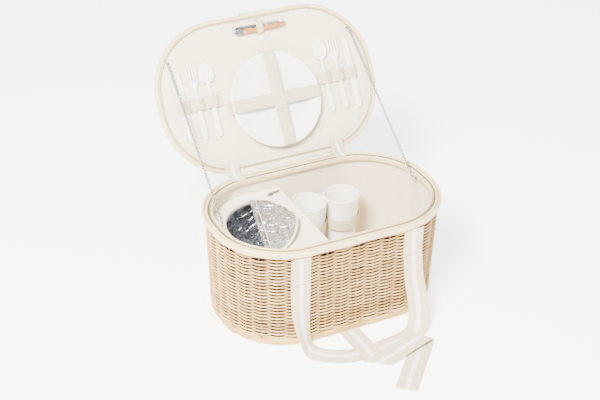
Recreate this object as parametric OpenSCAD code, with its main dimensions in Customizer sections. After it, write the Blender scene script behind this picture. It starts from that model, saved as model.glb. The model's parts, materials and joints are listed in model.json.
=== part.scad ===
// Oval wicker picnic basket for two, with a lined lid, an insulated cooler and webbing handles.
// Origin: centre of the underside. +X runs along the basket, +Y to the hinge side, +Z up.

/* [Basket] */
// Length over the rim
basket_length = 480; // [440:5:520]
// Depth over the rim
basket_depth = 312; // [300:4:324]
// Height of the rim above the floor
basket_height = 220; // [215:1:230]
// Size of the foot compared with the rim
foot_scale = 0.957; // [0.94:0.001:0.98]
// Thickness of the woven wall
wall = 7; // [6:0.5:8]
// Height of the rim hoops
hoop_height = 14; // [12:1:16]

/* [Lid] */
// How far the lid stands open
lid_open = 123; // [105:1:130]
// Width of the lid's bound hoop
lid_hoop_width = 11; // [9:0.5:12]
// Depth of the lid's bound hoop
lid_hoop_depth = 13; // [12:0.5:15]
// Rise of the woven top above the hoop
lid_crown = 9; // [6:0.5:12]

/* [Tableware] */
// Diameter of a plate
plate_diameter = 195; // [180:1:200]
// Height of a plate
plate_height = 13; // [11:0.5:14]
// Length of the spoon and the fork
cutlery_length = 154; // [145:1:158]
// Diameter of a cup's mouth
cup_mouth = 75; // [70:1:75]
// Height of a cup
cup_height = 148; // [130:1:150]

/* [Webbing] */
// Width of the handle webbing
webbing_width = 42; // [36:1:44]
// Thickness of the webbing
webbing_thickness = 1.8; // [1.4:0.1:2]
// Distance of a handle end from the middle
handle_reach = 121; // [118:1:124]

/* [Hidden] */
$fn = 96;

// The rim outline is a rectangle with large round corners
half_length = basket_length / 2;
half_depth = basket_depth / 2;
end_flat = 14;
corner_radius = half_depth - end_flat;
corner_x = half_length - corner_radius;

// Layers of the wall, measured inwards from the rim's outside
wall_outside = 6;
wall_inside = wall_outside + wall;
lining_outside = wall_inside + 0.5;
lining_inside = lining_outside + 2.5;
cooler_outside = lining_inside + 1.5;
cooler_wall = 8;
foil_thickness = 1.5;
slip = 0.3;

// Levels
border_top = 13.7;
lining_floor = border_top + 0.5;
floor_top = lining_floor + 2.8;
wall_top = basket_height - 1;
cooler_rim = 176;
panel_thickness = 7.5;
panel_top = cooler_rim + slip + panel_thickness;
cooler_side = -30;

// The cooler's opening and its fold
opening_inset = 46;
fold_point = [-124, 8];
fold_angle = 75;
flap_thickness = 5;
flap_lift = 0.6;

// Lid hinge: the lid turns about this line
hinge_y = half_depth + 1.5;
hinge_z = basket_height + 1.3;
rim_face = -1.3;
lining_face = rim_face - 2;

// Things in the lid, in the lid's own plane: x along the lid, y away from the hinge
plate_at = [5, 131];
band_width = 26;
band_thickness = 1.2;
cutlery_rise = -0.8;
cutlery_thickness = 3.2;
spoon_x = 127;
fork_x = 158;
knife_x = 188;
band_low = 141;
band_high = 165;
corkscrew_at = [6, 282];

// Cups
cup_x = [12, 87];
cup_y = 84;
cup_foot = 56;
cup_wall = 1.6;
cup_band_low = 98;
cup_band_high = 123;

// Chains
eye_at = [214, 8, 211];
lid_eye_at = [202, 246, 2.5];
chain_thickness = 5;

// Handle routes: place of the middle of the webbing, then the direction across its width
handle_route = [
    [[-121, -151.6, 140], [1, 0, 0]],
    [[-121, -151.2, 100], [1, 0, 0]],
    [[-120, -151, 55], [0.98, 0.1, 0]],
    [[-119, -152, 20], [0.95, 0.15, 0]],
    [[-118, -158, 5], [0.95, 0.2, 0]],
    [[-115, -172, 1.6], [0.93, 0.35, 0]],
    [[-104, -197, 1.6], [0.75, 0.66, 0]],
    [[-78, -216, 1.6], [0.35, 0.94, 0]],
    [[-42, -222, 1.6], [0.08, 1, 0]],
    [[0, -222, 1.6], [-0.05, 1, 0]],
    [[44, -218, 1.6], [-0.12, 1, 0]],
    [[82, -212, 1.8], [-0.3, 0.95, 0]],
    [[108, -202, 5], [-0.6, 0.8, 0.05]],
    [[121, -188, 22], [-0.85, 0.5, 0.1]],
    [[125, -172, 58], [-0.97, 0.2, 0.05]],
    [[123, -158, 100], [-1, 0.05, 0]],
    [[121, -151.6, 140], [-1, 0, 0]]
];
closing_route = [
    [[-10, -112, 1.7], [1, 0, 0]],
    [[-10, -158, 1.7], [1, 0, 0]],
    [[-10, -188, 4.1], [1, 0, 0]],
    [[-10, -245, 4.1], [1, 0, 0]],
    [[-10, -256, 3], [1, 0, 0]]
];
strap_notch = [48, 3.3];

// Flat slat under the base that it also rests on
runner = [380, 24];

// Colours
cane = [0.91, 0.83, 0.68];
cream = [0.95, 0.92, 0.86];
webbing_colour = [0.88, 0.84, 0.76];
foil_colour = [0.76, 0.77, 0.79];
steel = [0.75, 0.75, 0.77];
plastic = [0.95, 0.94, 0.92];
olive_wood = [0.80, 0.55, 0.30];

// Size of the outline at a height, compared with the rim
function shrink(z) = foot_scale + (1 - foot_scale) * z / basket_height;

function unit(v) = v / norm(v);

// Rim outline, moved inwards by inset
module oval(inset) {
    r = corner_radius - inset;
    square([2 * corner_x, 2 * (half_depth - inset)], center = true);
    square([2 * (half_length - inset), 2 * end_flat], center = true);
    for (sx = [-1, 1], sy = [-1, 1])
        translate([sx * corner_x, sy * end_flat]) circle(r);
}

// A solid block that follows the lean of the walls
module leaning(low, high, inset) {
    translate([0, 0, low])
        linear_extrude(height = high - low, scale = shrink(high) / shrink(low))
            scale(shrink(low)) oval(inset);
}

// A leaning wall between two insets
module leaning_ring(low, high, outside, inside) {
    difference() {
        leaning(low, high, outside);
        leaning(low - 1, high + 1, inside);
    }
}

// An upright ring between two insets
module straight_ring(low, high, outside, inside) {
    translate([0, 0, low])
        linear_extrude(high - low)
            difference() {
                oval(outside);
                oval(inside);
            }
}

// Webbing swept along a route
module strap(route, width, thickness) {
    n = len(route);
    function heading(i) = unit(route[min(i + 1, n - 1)][0] - route[max(i - 1, 0)][0]);
    function across(i) = unit(route[i][1] - heading(i) * (route[i][1] * heading(i)));
    function up(i) = cross(heading(i), across(i));
    points = [
        for (i = [0 : n - 1], c = [[-1, -1], [1, -1], [1, 1], [-1, 1]])
            route[i][0] + across(i) * c[0] * width / 2 + up(i) * c[1] * thickness / 2
    ];
    sides = [
        for (i = [0 : n - 2], k = [0 : 3])
            let (a = 4 * i + k, b = 4 * i + (k + 1) % 4)
            [a, a + 4, b + 4, b]
    ];
    ends = [[0, 1, 2, 3], [for (k = [3 : -1 : 0]) 4 * (n - 1) + k]];
    polyhedron(points, concat(sides, ends), convexity = 6);
}

// A straight rod between two points
module rod(from, to, diameter) {
    along = to - from;
    turn = atan2(along[1], along[0]);
    tilt = acos(along[2] / norm(along));
    translate(from) rotate([0, tilt, turn]) cylinder(h = norm(along), d = diameter, $fn = 24);
}

// Puts the lid's own plane at its place on the open basket
module on_lid() {
    translate([0, hinge_y, hinge_z]) rotate([180 - lid_open, 0, 0]) children();
}

// A point of the lid's own plane, in the basket's frame
function lid_point(p) = [
    p[0],
    hinge_y - p[1] * cos(lid_open) - p[2] * sin(lid_open),
    hinge_z + p[1] * sin(lid_open) - p[2] * cos(lid_open)
];

module lid_outline(inset) {
    translate([0, half_depth + 1.5]) oval(inset);
}

// ---- basket ----

module wicker_body() {
    color(cane) leaning_ring(border_top + slip, wall_top, wall_outside, wall_inside);
}

module wicker_base() {
    color(cane)
        union() {
            leaning(5, 11, wall_inside + 3.5);
            translate([-runner[0] / 2, -runner[1] / 2, 0]) cube([runner[0], runner[1], 6]);
        }
}

module base_border() {
    color(cane)
        difference() {
            leaning_ring(0, border_top, wall_outside - 2, wall_inside + 3);
            translate([-10 - strap_notch[0] / 2, -half_depth, -1]) cube([strap_notch[0], 60, strap_notch[1] + 1]);
        }
}

module rim_outer_hoop() {
    color(cane)
        straight_ring(basket_height - hoop_height, basket_height, 0, wall_outside - slip);
}

module rim_inner_hoop() {
    color(cane)
        straight_ring(basket_height - hoop_height + 1, basket_height - 0.5, lining_inside + 1.2, 23);
}

module lining() {
    color(cream)
        difference() {
            leaning(lining_floor, wall_top - 1, lining_outside);
            leaning(floor_top, wall_top, lining_inside);
        }
}

module cup_band() {
    back = 135.4;
    ring = cup_mouth / 2 - 1.2;
    color(webbing_colour)
        intersection() {
            leaning(cup_band_low - 1, cup_band_high + 1, lining_inside + slip);
            translate([0, 0, cup_band_low])
                linear_extrude(cup_band_high - cup_band_low)
                    difference() {
                        for (x = cup_x) {
                            translate([x, cup_y]) circle(ring + band_thickness);
                            translate([x - ring - band_thickness, cup_y])
                                square([2 * (ring + band_thickness), back - cup_y]);
                        }
                        for (x = cup_x) {
                            translate([x, cup_y]) circle(ring);
                            translate([x - ring, cup_y]) square([2 * ring, back - cup_y - band_thickness]);
                        }
                    }
        }
}

// ---- cooler ----

module cooler_region(side) {
    translate([-400, -300, 0]) cube([400 + side, 600, 400]);
}

module cooler_shell() {
    low = floor_top + 1;
    color(cream)
        difference() {
            intersection() {
                leaning(low, cooler_rim, cooler_outside);
                cooler_region(cooler_side);
            }
            intersection() {
                leaning(low + cooler_wall, cooler_rim + 1, cooler_outside + cooler_wall);
                cooler_region(cooler_side - cooler_wall);
            }
        }
}

module foil_liner() {
    low = floor_top + 1 + cooler_wall + slip;
    gap = cooler_outside + cooler_wall + slip;
    color(foil_colour)
        difference() {
            intersection() {
                leaning(low, cooler_rim - slip, gap);
                cooler_region(cooler_side - cooler_wall - slip);
            }
            intersection() {
                leaning(low + foil_thickness, cooler_rim, gap + foil_thickness);
                cooler_region(cooler_side - cooler_wall - slip - foil_thickness);
            }
        }
}

// The half of the opening's outline on the far side of the fold
module opening_outline(inset, fold_gap) {
    intersection() {
        scale(shrink(panel_top)) oval(inset);
        translate(fold_point) rotate(fold_angle) translate([-300, fold_gap]) square([600, 300]);
    }
}

module cooler_top() {
    color(cream)
        translate([0, 0, cooler_rim + slip])
            linear_extrude(panel_thickness)
                difference() {
                    intersection() {
                        scale(shrink(cooler_rim)) oval(cooler_outside + 0.5);
                        translate([-400, -300]) square([400 + cooler_side, 600]);
                    }
                    opening_outline(opening_inset, 0);
                }
}

module cooler_flap() {
    color(cream)
        translate([0, 0, panel_top + flap_lift])
            linear_extrude(flap_thickness)
                translate(fold_point) rotate(fold_angle) mirror([0, 1]) rotate(-fold_angle)
                    translate(-fold_point) opening_outline(opening_inset + 1.5, 1);
}

module zip_tape() {
    color(webbing_colour)
        translate([0, 0, panel_top + 0.2])
            linear_extrude(1.2)
                intersection() {
                    scale(shrink(panel_top))
                        difference() {
                            oval(opening_inset - 5);
                            oval(opening_inset - 1);
                        }
                    translate([-400, -300]) square([400 + cooler_side - 4, 600]);
                }
}

slider_size = [12, 9, 3];
slider_low = panel_top + 1.7;
zip_y = shrink(panel_top) * (half_depth - opening_inset + 3);
front_slider = [-52, -zip_y];
back_slider = [-60, zip_y];
pull_length = 18;

module zip_slider(at) {
    color(steel)
        translate([at[0], at[1], slider_low]) {
            translate([-slider_size[0] / 2, -slider_size[1] / 2, 0]) cube(slider_size);
        }
}

module zip_pull(at) {
    color(steel)
        translate([at[0], at[1], slider_low + slider_size[2] + 0.3])
            linear_extrude(1.4)
                difference() {
                    union() {
                        translate([0, -2.6]) square([pull_length, 5.2]);
                        translate([pull_length, 0]) circle(3.2);
                    }
                    translate([pull_length, 0]) circle(1.4);
                }
}

module zip_slider_front() { zip_slider(front_slider); }

module zip_slider_back() { zip_slider(back_slider); }

module zip_pull_front() { zip_pull(front_slider); }

module zip_pull_back() { zip_pull(back_slider); }

// ---- cups ----

module cup(x) {
    foot = cup_foot / 2;
    mouth = cup_mouth / 2;
    color(plastic)
        translate([x, cup_y, floor_top + 1])
            rotate_extrude()
                polygon([
                    [0, 0], [foot - 2, 0], [foot, 2], [mouth, cup_height],
                    [mouth - cup_wall, cup_height], [foot - cup_wall, 4], [0, 4]
                ]);
}

module cup_left() { cup(cup_x[0]); }

module cup_right() { cup(cup_x[1]); }

// ---- webbing ----

// Webbing sewn to the woven wall below the rim
module patch(x, side) {
    color(webbing_colour)
        intersection() {
            leaning_ring(142, basket_height - hoop_height - 1, wall_outside - 2.2, wall_outside - 0.3);
            translate([x - webbing_width / 2, side > 0 ? 0 : -200, 0]) cube([webbing_width, 200, 300]);
        }
}

module patch_front_left() { patch(-handle_reach, -1); }

module patch_front_right() { patch(handle_reach, -1); }

module patch_rear_left() { patch(-handle_reach, 1); }

module patch_rear_right() { patch(handle_reach, 1); }

module handle_front() {
    color(webbing_colour) strap(handle_route, webbing_width, webbing_thickness);
}

module handle_rear() {
    color(webbing_colour) mirror([0, 1, 0]) strap(handle_route, webbing_width, webbing_thickness);
}

// The closing strap comes out from under the basket, folds over itself and lies on the floor
module closing_strap() {
    layer = webbing_thickness;
    color(webbing_colour) {
        strap(closing_route, webbing_width, layer);
        translate([-10 - webbing_width / 2, -300, 0.7])
            linear_extrude(4.2)
                polygon([[0, 51], [webbing_width, 44], [webbing_width, 0]]);
        translate([-14, -266, 4.7]) rotate(17) translate([0, -webbing_width / 2, 0])
            cube([115.5, webbing_width, layer]);
        translate([100.8, -251.9, 0.7]) rotate(17) translate([0, -webbing_width / 2, 0])
            cube([4, webbing_width, 5]);
        translate([107, -255, 0.7]) rotate(222) translate([0, -webbing_width / 2, 0])
            cube([152, webbing_width, layer]);
    }
}

module strap_keeper() {
    color(webbing_colour)
        on_lid()
            translate([0, 0, rim_face - lid_hoop_depth])
                linear_extrude(lid_hoop_depth - 1)
                    translate([-25, hinge_y + half_depth + 0.6]) square([60, 4]);
}

// ---- hinge tabs ----

tab_x = 118;
tab_width = 30;

module hinge_tab_lower(x) {
    color(webbing_colour)
        translate([x - tab_width / 2, half_depth - 22, basket_height + 0.1]) cube([tab_width, 22, 0.9]);
}

module hinge_tab_upper(x) {
    color(webbing_colour)
        on_lid() translate([x - tab_width / 2, 2, rim_face + 0.1]) cube([tab_width, 22, 0.9]);
}

module hinge_tab_left_lower() { hinge_tab_lower(-tab_x); }

module hinge_tab_right_lower() { hinge_tab_lower(tab_x); }

module hinge_tab_left_upper() { hinge_tab_upper(-tab_x); }

module hinge_tab_right_upper() { hinge_tab_upper(tab_x); }

// ---- chains ----

module chain_eye(side) {
    color(steel)
        translate([side * (eye_at[0] + 2.4), eye_at[1], eye_at[2]]) rotate([0, -90 * side, 0]) {
            cylinder(h = 1.6, d = 9, $fn = 24);
            cylinder(h = 4, d = 3, $fn = 24);
        }
}

module lid_eye(side) {
    color(steel)
        on_lid() translate([side * lid_eye_at[0], lid_eye_at[1], lining_face + 0.3]) {
            cylinder(h = 1.6, d = 5.4, $fn = 24);
            cylinder(h = 3.4, d = 3, $fn = 24);
        }
}

module chain(side, from_share, to_share) {
    low = [side * (eye_at[0] - 4.5), eye_at[1], eye_at[2]];
    top = lid_point([side * lid_eye_at[0], lid_eye_at[1], lid_eye_at[2] + 1.5]);
    color(steel)
        rod(low + (top - low) * from_share, low + (top - low) * to_share, chain_thickness);
}

middle_gap = 0.004;

module chain_eye_left() { chain_eye(-1); }

module chain_eye_right() { chain_eye(1); }

module lid_eye_left() { lid_eye(-1); }

module lid_eye_right() { lid_eye(1); }

module chain_lower_left() { chain(-1, 0.008, 0.5 - middle_gap); }

module chain_lower_right() { chain(1, 0.008, 0.5 - middle_gap); }

module chain_upper_left() { chain(-1, 0.5 + middle_gap, 0.985); }

module chain_upper_right() { chain(1, 0.5 + middle_gap, 0.985); }

// ---- lid ----

module lid_shell() {
    top = rim_face - lid_hoop_depth;
    color(cane)
        on_lid()
            translate([0, half_depth + 1.5, 0]) {
                translate([0, 0, top]) linear_extrude(4) oval(lid_hoop_width + slip);
                for (step = [0 : 2])
                    translate([0, 0, top - (step + 1) * lid_crown / 3])
                        linear_extrude(lid_crown / 3) oval([14, 30, 62][step]);
            }
}

module lid_rim() {
    color(cane)
        on_lid()
            translate([0, 0, rim_face - lid_hoop_depth])
                linear_extrude(lid_hoop_depth)
                    difference() {
                        lid_outline(0);
                        lid_outline(lid_hoop_width);
                    }
}

module lid_lining() {
    thickness = lid_hoop_depth - 4 - 2 - slip;
    color(cream)
        on_lid()
            translate([0, 0, lining_face - thickness])
                linear_extrude(thickness) lid_outline(lid_hoop_width + slip);
}

module plate(low) {
    r = plate_diameter / 2;
    color(plastic)
        on_lid()
            translate([plate_at[0], plate_at[1], low])
                rotate_extrude()
                    polygon([
                        [0, 0], [60, 0], [66, 2.4], [r - 1, plate_height - 2], [r, plate_height - 1],
                        [r - 0.6, plate_height], [65, 4.6], [59, 2.2], [0, 2.2]
                    ]);
}

plate_low = lining_face + 0.3;
plate_step = 3.2;
plate_top = plate_low + plate_step + plate_height;

module plate_inner() { plate(plate_low); }

module plate_outer() { plate(plate_low + plate_step); }

// An elastic that bridges the plates, with its two ends sewn to the lid lining
module plate_band(length, lift) {
    top = plate_top + 0.4 + lift;
    foot = lining_face + 0.2;
    color(webbing_colour)
        on_lid()
            translate([plate_at[0], plate_at[1], 0])
                children_band(length, top, foot);
}

module children_band(length, top, foot) {
    translate([-length / 2, -band_width / 2, top]) cube([length, band_width, band_thickness]);
    for (side = [-1, 1])
        translate([side * (length - band_thickness) / 2 - band_thickness / 2, -band_width / 2, foot])
            cube([band_thickness, band_width, top - foot + band_thickness]);
}

module plate_band_cross() { plate_band(plate_diameter + 5, 0); }

module plate_band_long() {
    top = plate_top + 0.4 + band_thickness + 0.3;
    color(webbing_colour)
        on_lid()
            translate([plate_at[0] + 4, plate_at[1], 0]) rotate(90)
                children_band(plate_diameter + 5, top, lining_face + 0.2);
}

// An elastic sewn down between the pieces of cutlery
module cutlery_band(side) {
    top = cutlery_rise + cutlery_thickness + 0.6;
    foot = lining_face + 0.2;
    seams = [spoon_x - 15.5, (spoon_x + fork_x) / 2, (fork_x + knife_x) / 2, knife_x + 13];
    color(webbing_colour)
        on_lid() {
            translate([side > 0 ? seams[0] - 1.5 : -seams[3] - 1.5, band_low, top])
                cube([seams[3] - seams[0] + 3, band_high - band_low, band_thickness]);
            for (x = seams)
                translate([side * x - 1.5, band_low, foot])
                    cube([3, band_high - band_low, top - foot + 0.5]);
        }
}

module cutlery_band_left() { cutlery_band(-1); }

module cutlery_band_right() { cutlery_band(1); }

// Cutlery outlines start at the handle's end and run away from the hinge
module cutlery_piece(x, low_end) {
    color(plastic)
        on_lid() translate([x, low_end, cutlery_rise]) linear_extrude(cutlery_thickness) children();
}

module handle_outline(length, end_width, neck_width) {
    translate([0, end_width / 2]) circle(d = end_width);
    polygon([
        [-end_width / 2, end_width / 2], [end_width / 2, end_width / 2],
        [neck_width / 2, length], [-neck_width / 2, length]
    ]);
}

module spoon_outline() {
    handle_outline(cutlery_length - 40, 13, 6);
    translate([0, cutlery_length - 24]) scale([1, 1.55]) circle(15.5);
}

module fork_outline() {
    head = cutlery_length - 52;
    difference() {
        union() {
            handle_outline(head + 6, 13, 6);
            translate([0, head + 12]) circle(11.5);
            translate([-11.5, head + 12]) square([23, 38]);
        }
        for (x = [-6, 0, 6])
            translate([x - 1.3, head + 18]) square([2.6, 40]);
    }
}

module knife_outline() {
    handle_outline(70, 14, 12);
    translate([-8, 66]) square([15, cutlery_length - 88]);
    translate([-0.5, cutlery_length - 22]) circle(7.5);
}

cutlery_low = 82;

module knife_left() { cutlery_piece(-knife_x, cutlery_low - 2) knife_outline(); }

module fork_left() { cutlery_piece(-fork_x, cutlery_low) fork_outline(); }

module spoon_left() { cutlery_piece(-spoon_x, cutlery_low) spoon_outline(); }

module spoon_right() { cutlery_piece(spoon_x, cutlery_low) spoon_outline(); }

module fork_right() { cutlery_piece(fork_x, cutlery_low) fork_outline(); }

module knife_right() { cutlery_piece(knife_x, cutlery_low - 2) knife_outline(); }

// ---- corkscrew ----

module at_corkscrew(low) {
    on_lid() translate([corkscrew_at[0], corkscrew_at[1], low]) children();
}

module corkscrew_loop() {
    top = 9.4;
    color(webbing_colour)
        at_corkscrew(lining_face + 0.2) {
            translate([-5, -13, top]) cube([13, 30, 1]);
            for (y = [-13, 16])
                translate([-5, y, 0]) cube([13, 1, top + 0.5]);
        }
}

pivot_worm = [8, 3.5];
pivot_lever = [-47, 4];
pivot_blade = [50, -4];
worm_level = 0.2;

module corkscrew_handle() {
    color(olive_wood)
        difference() {
            at_corkscrew(lining_face + 0.5)
                linear_extrude(8.6)
                    difference() {
                        union() {
                            translate([-46, -1]) circle(8.5);
                            translate([-46, -9.5]) square([98, 10]);
                            translate([52, -2]) circle(7.5);
                            translate(pivot_worm) circle(3.6);
                        }
                        translate([-30, 0.5]) square([34, 12]);
                        translate([12.5, 0.5]) square([60, 12]);
                    }
            at_corkscrew(worm_level - 0.3)
                linear_extrude(3.2) {
                    translate(pivot_worm) circle(5);
                    translate([-60, 0.4]) square([64, 15]);
                    translate([14, -16]) square([60, 14.4]);
                }
        }
}

module corkscrew_worm() {
    worm_length = 32;
    color(steel)
        at_corkscrew(worm_level)
            translate(pivot_worm) {
                linear_extrude(2.6) circle(2.8);
                translate([2, -1.2, 0]) cube([8, 2.4, 2.6]);
                translate([9.6, 0, 2.7]) rotate([0, 90, 0]) cylinder(h = worm_length, d = 5.7, $fn = 24);
            }
}

module corkscrew_lever() {
    color(steel)
        at_corkscrew(worm_level)
            translate(pivot_lever)
                linear_extrude(2.6) {
                    circle(3.4);
                    translate([0, -2]) square([40, 5.5]);
                    translate([40, 0.7]) circle(2.7);
                }
}

module corkscrew_blade() {
    color(steel)
        at_corkscrew(worm_level)
            translate(pivot_blade)
                linear_extrude(1.4) {
                    circle(2.2);
                    translate([-32, -2]) square([32, 3.6]);
                }
}

wicker_body();
wicker_base();
base_border();
rim_outer_hoop();
rim_inner_hoop();
lining();
cooler_shell();
foil_liner();
cooler_top();
cooler_flap();
zip_tape();
zip_slider_front();
zip_pull_front();
zip_slider_back();
zip_pull_back();
cup_left();
cup_right();
cup_band();
handle_front();
handle_rear();
patch_front_left();
patch_front_right();
patch_rear_left();
patch_rear_right();
closing_strap();
hinge_tab_left_lower();
hinge_tab_right_lower();
hinge_tab_left_upper();
hinge_tab_right_upper();
chain_eye_left();
chain_eye_right();
chain_lower_left();
chain_lower_right();
chain_upper_left();
chain_upper_right();
lid_eye_left();
lid_eye_right();
lid_shell();
lid_rim();
lid_lining();
strap_keeper();
plate_inner();
plate_outer();
plate_band_long();
plate_band_cross();
cutlery_band_left();
cutlery_band_right();
knife_left();
fork_left();
spoon_left();
spoon_right();
fork_right();
knife_right();
corkscrew_loop();
corkscrew_handle();
corkscrew_worm();
corkscrew_lever();
corkscrew_blade();
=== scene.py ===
# %% [markdown]
# # A wicker picnic basket
# This lesson builds an open wicker picnic basket with a cooler bag, cups, plates and cutlery.
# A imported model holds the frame: where every part is and how it moves.
# Each piece made here is placed from that frame and then told which moving body it rides on.
# All lengths are in metres.

# %% Load the frame
import bpy
import json
import math
import numpy as np
from mathutils import Matrix, Vector


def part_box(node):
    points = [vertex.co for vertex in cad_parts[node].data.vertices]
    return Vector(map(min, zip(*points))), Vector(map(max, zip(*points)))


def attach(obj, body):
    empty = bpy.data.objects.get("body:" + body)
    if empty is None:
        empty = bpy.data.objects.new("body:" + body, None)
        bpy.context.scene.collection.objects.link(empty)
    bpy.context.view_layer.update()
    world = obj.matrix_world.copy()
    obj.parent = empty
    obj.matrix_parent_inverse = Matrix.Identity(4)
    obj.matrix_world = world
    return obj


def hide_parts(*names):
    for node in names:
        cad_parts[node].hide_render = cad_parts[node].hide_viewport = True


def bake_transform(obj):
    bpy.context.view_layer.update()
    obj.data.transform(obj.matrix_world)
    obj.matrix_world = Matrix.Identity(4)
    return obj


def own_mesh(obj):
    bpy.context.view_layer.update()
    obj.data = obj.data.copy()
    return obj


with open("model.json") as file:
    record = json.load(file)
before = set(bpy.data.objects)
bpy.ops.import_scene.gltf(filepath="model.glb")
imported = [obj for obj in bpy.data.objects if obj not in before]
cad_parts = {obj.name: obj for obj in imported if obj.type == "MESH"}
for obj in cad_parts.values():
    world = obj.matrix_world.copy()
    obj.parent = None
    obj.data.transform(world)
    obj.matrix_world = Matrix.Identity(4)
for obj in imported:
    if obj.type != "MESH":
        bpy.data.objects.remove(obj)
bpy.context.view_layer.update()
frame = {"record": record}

# %% [markdown]
# ## Sizes
# The rim is a rounded rectangle, and the basket narrows a little towards its foot.
# The lid has a plane of its own: x along the hinge, v away from it, n out of the lining.
# `LID` turns a point of that plane into the basket's frame.

# %% Sizes
HALF_DEPTH = 0.156
CORNER_X = 0.098
CORNER_Y = 0.014
CORNER_RADIUS = 0.142
FOOT_SCALE = 0.957
HEIGHT = 0.220
STAKES = 38
LID_OPEN = math.radians(123)
HINGE = Vector((0, 0.1575, 0.2213))
LID = Matrix.Translation(HINGE) @ Matrix.Rotation(math.pi - LID_OPEN, 4, "X")
LID_ACROSS = LID.to_3x3() @ Vector((0, 0, 1))
LID_CENTRE = HALF_DEPTH + 0.0015
random = np.random.default_rng(7)


def shrink(height):
    return FOOT_SCALE + (1 - FOOT_SCALE) * np.asarray(height) / HEIGHT


def outline(share, inset=0.0):
    """Places and outward directions at shares (0 to 1) of the way round the rim outline."""
    quarter = math.pi / 2 * (CORNER_RADIUS - 0.009)
    lengths = np.cumsum([0, 2 * CORNER_Y, quarter, 2 * CORNER_X, quarter] * 2)[:9]
    steps = [0, 2 * CORNER_Y, quarter, 2 * CORNER_X, quarter, 2 * CORNER_Y, quarter, 2 * CORNER_X, quarter]
    lengths = np.cumsum(steps)
    along = np.asarray(share) % 1.0 * lengths[-1]
    middle_x = np.interp(along, lengths, CORNER_X * np.array([1, 1, 1, -1, -1, -1, -1, 1, 1]))
    middle_y = np.interp(along, lengths, CORNER_Y * np.array([-1, 1, 1, 1, 1, -1, -1, -1, -1]))
    turn = np.interp(along, lengths, math.pi / 2 * np.array([0, 0, 1, 1, 2, 2, 3, 3, 4]))
    away = np.stack([np.cos(turn), np.sin(turn)], -1)
    return np.stack([middle_x, middle_y], -1) + away * (CORNER_RADIUS - np.asarray(inset))[..., None], away


def ring_points(share, inset, height):
    """A closed path round the basket at an inset and a height, which may both vary."""
    inset = np.broadcast_to(inset, np.shape(share))
    height = np.broadcast_to(height, np.shape(share))
    place, _ = outline(share, inset)
    place = place * shrink(height)[..., None]
    return np.concatenate([place, height[..., None]], -1)


def lid_ring(share, inset, n):
    """The same path in the lid's own plane."""
    inset = np.broadcast_to(inset, np.shape(share))
    place, _ = outline(share, inset)
    height = np.broadcast_to(n, np.shape(share))
    return np.concatenate([place + [0, LID_CENTRE], height[..., None]], -1)


# %% [markdown]
# ## Materials
# `Wire` is a value inside a material. Ordinary arithmetic on it adds math nodes.
# `Finish` starts a material, and its `node` method adds any other node.
# Steady values are set straight on the shader, and only what varies is wired to it.

# %% Material tools
class Wire:
    def __init__(self, tree, socket):
        self.tree = tree
        self.socket = socket

    def math(self, operation, *values):
        node = self.tree.nodes.new("ShaderNodeMath")
        node.operation = operation
        for socket, value in zip(node.inputs, values):
            plug(self.tree, socket, value)
        return Wire(self.tree, node.outputs[0])

    def __add__(self, other):
        return self.math("ADD", self, other)

    def __sub__(self, other):
        return self.math("SUBTRACT", self, other)

    def __mul__(self, other):
        return self.math("MULTIPLY", self, other)

    def __truediv__(self, other):
        return self.math("DIVIDE", self, other)

    def __rsub__(self, other):
        return self.math("SUBTRACT", other, self)

    def __pow__(self, other):
        return self.math("POWER", self, other)

    __radd__ = __add__
    __rmul__ = __mul__

    def sine(self):
        return self.math("SINE", self)

    def size(self):
        return self.math("ABSOLUTE", self)

    def over(self, limit):
        return self.math("GREATER_THAN", self, limit)

    def ramp(self, low, high):
        """0 below low, 1 above high, smooth between."""
        node = self.tree.nodes.new("ShaderNodeMapRange")
        node.interpolation_type = "SMOOTHSTEP"
        plug(self.tree, node.inputs["Value"], self)
        node.inputs["From Min"].default_value = low
        node.inputs["From Max"].default_value = high
        return Wire(self.tree, node.outputs["Result"])


def plug(tree, socket, value):
    if isinstance(value, Wire):
        tree.links.new(value.socket, socket)
    else:
        socket.default_value = value


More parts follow.
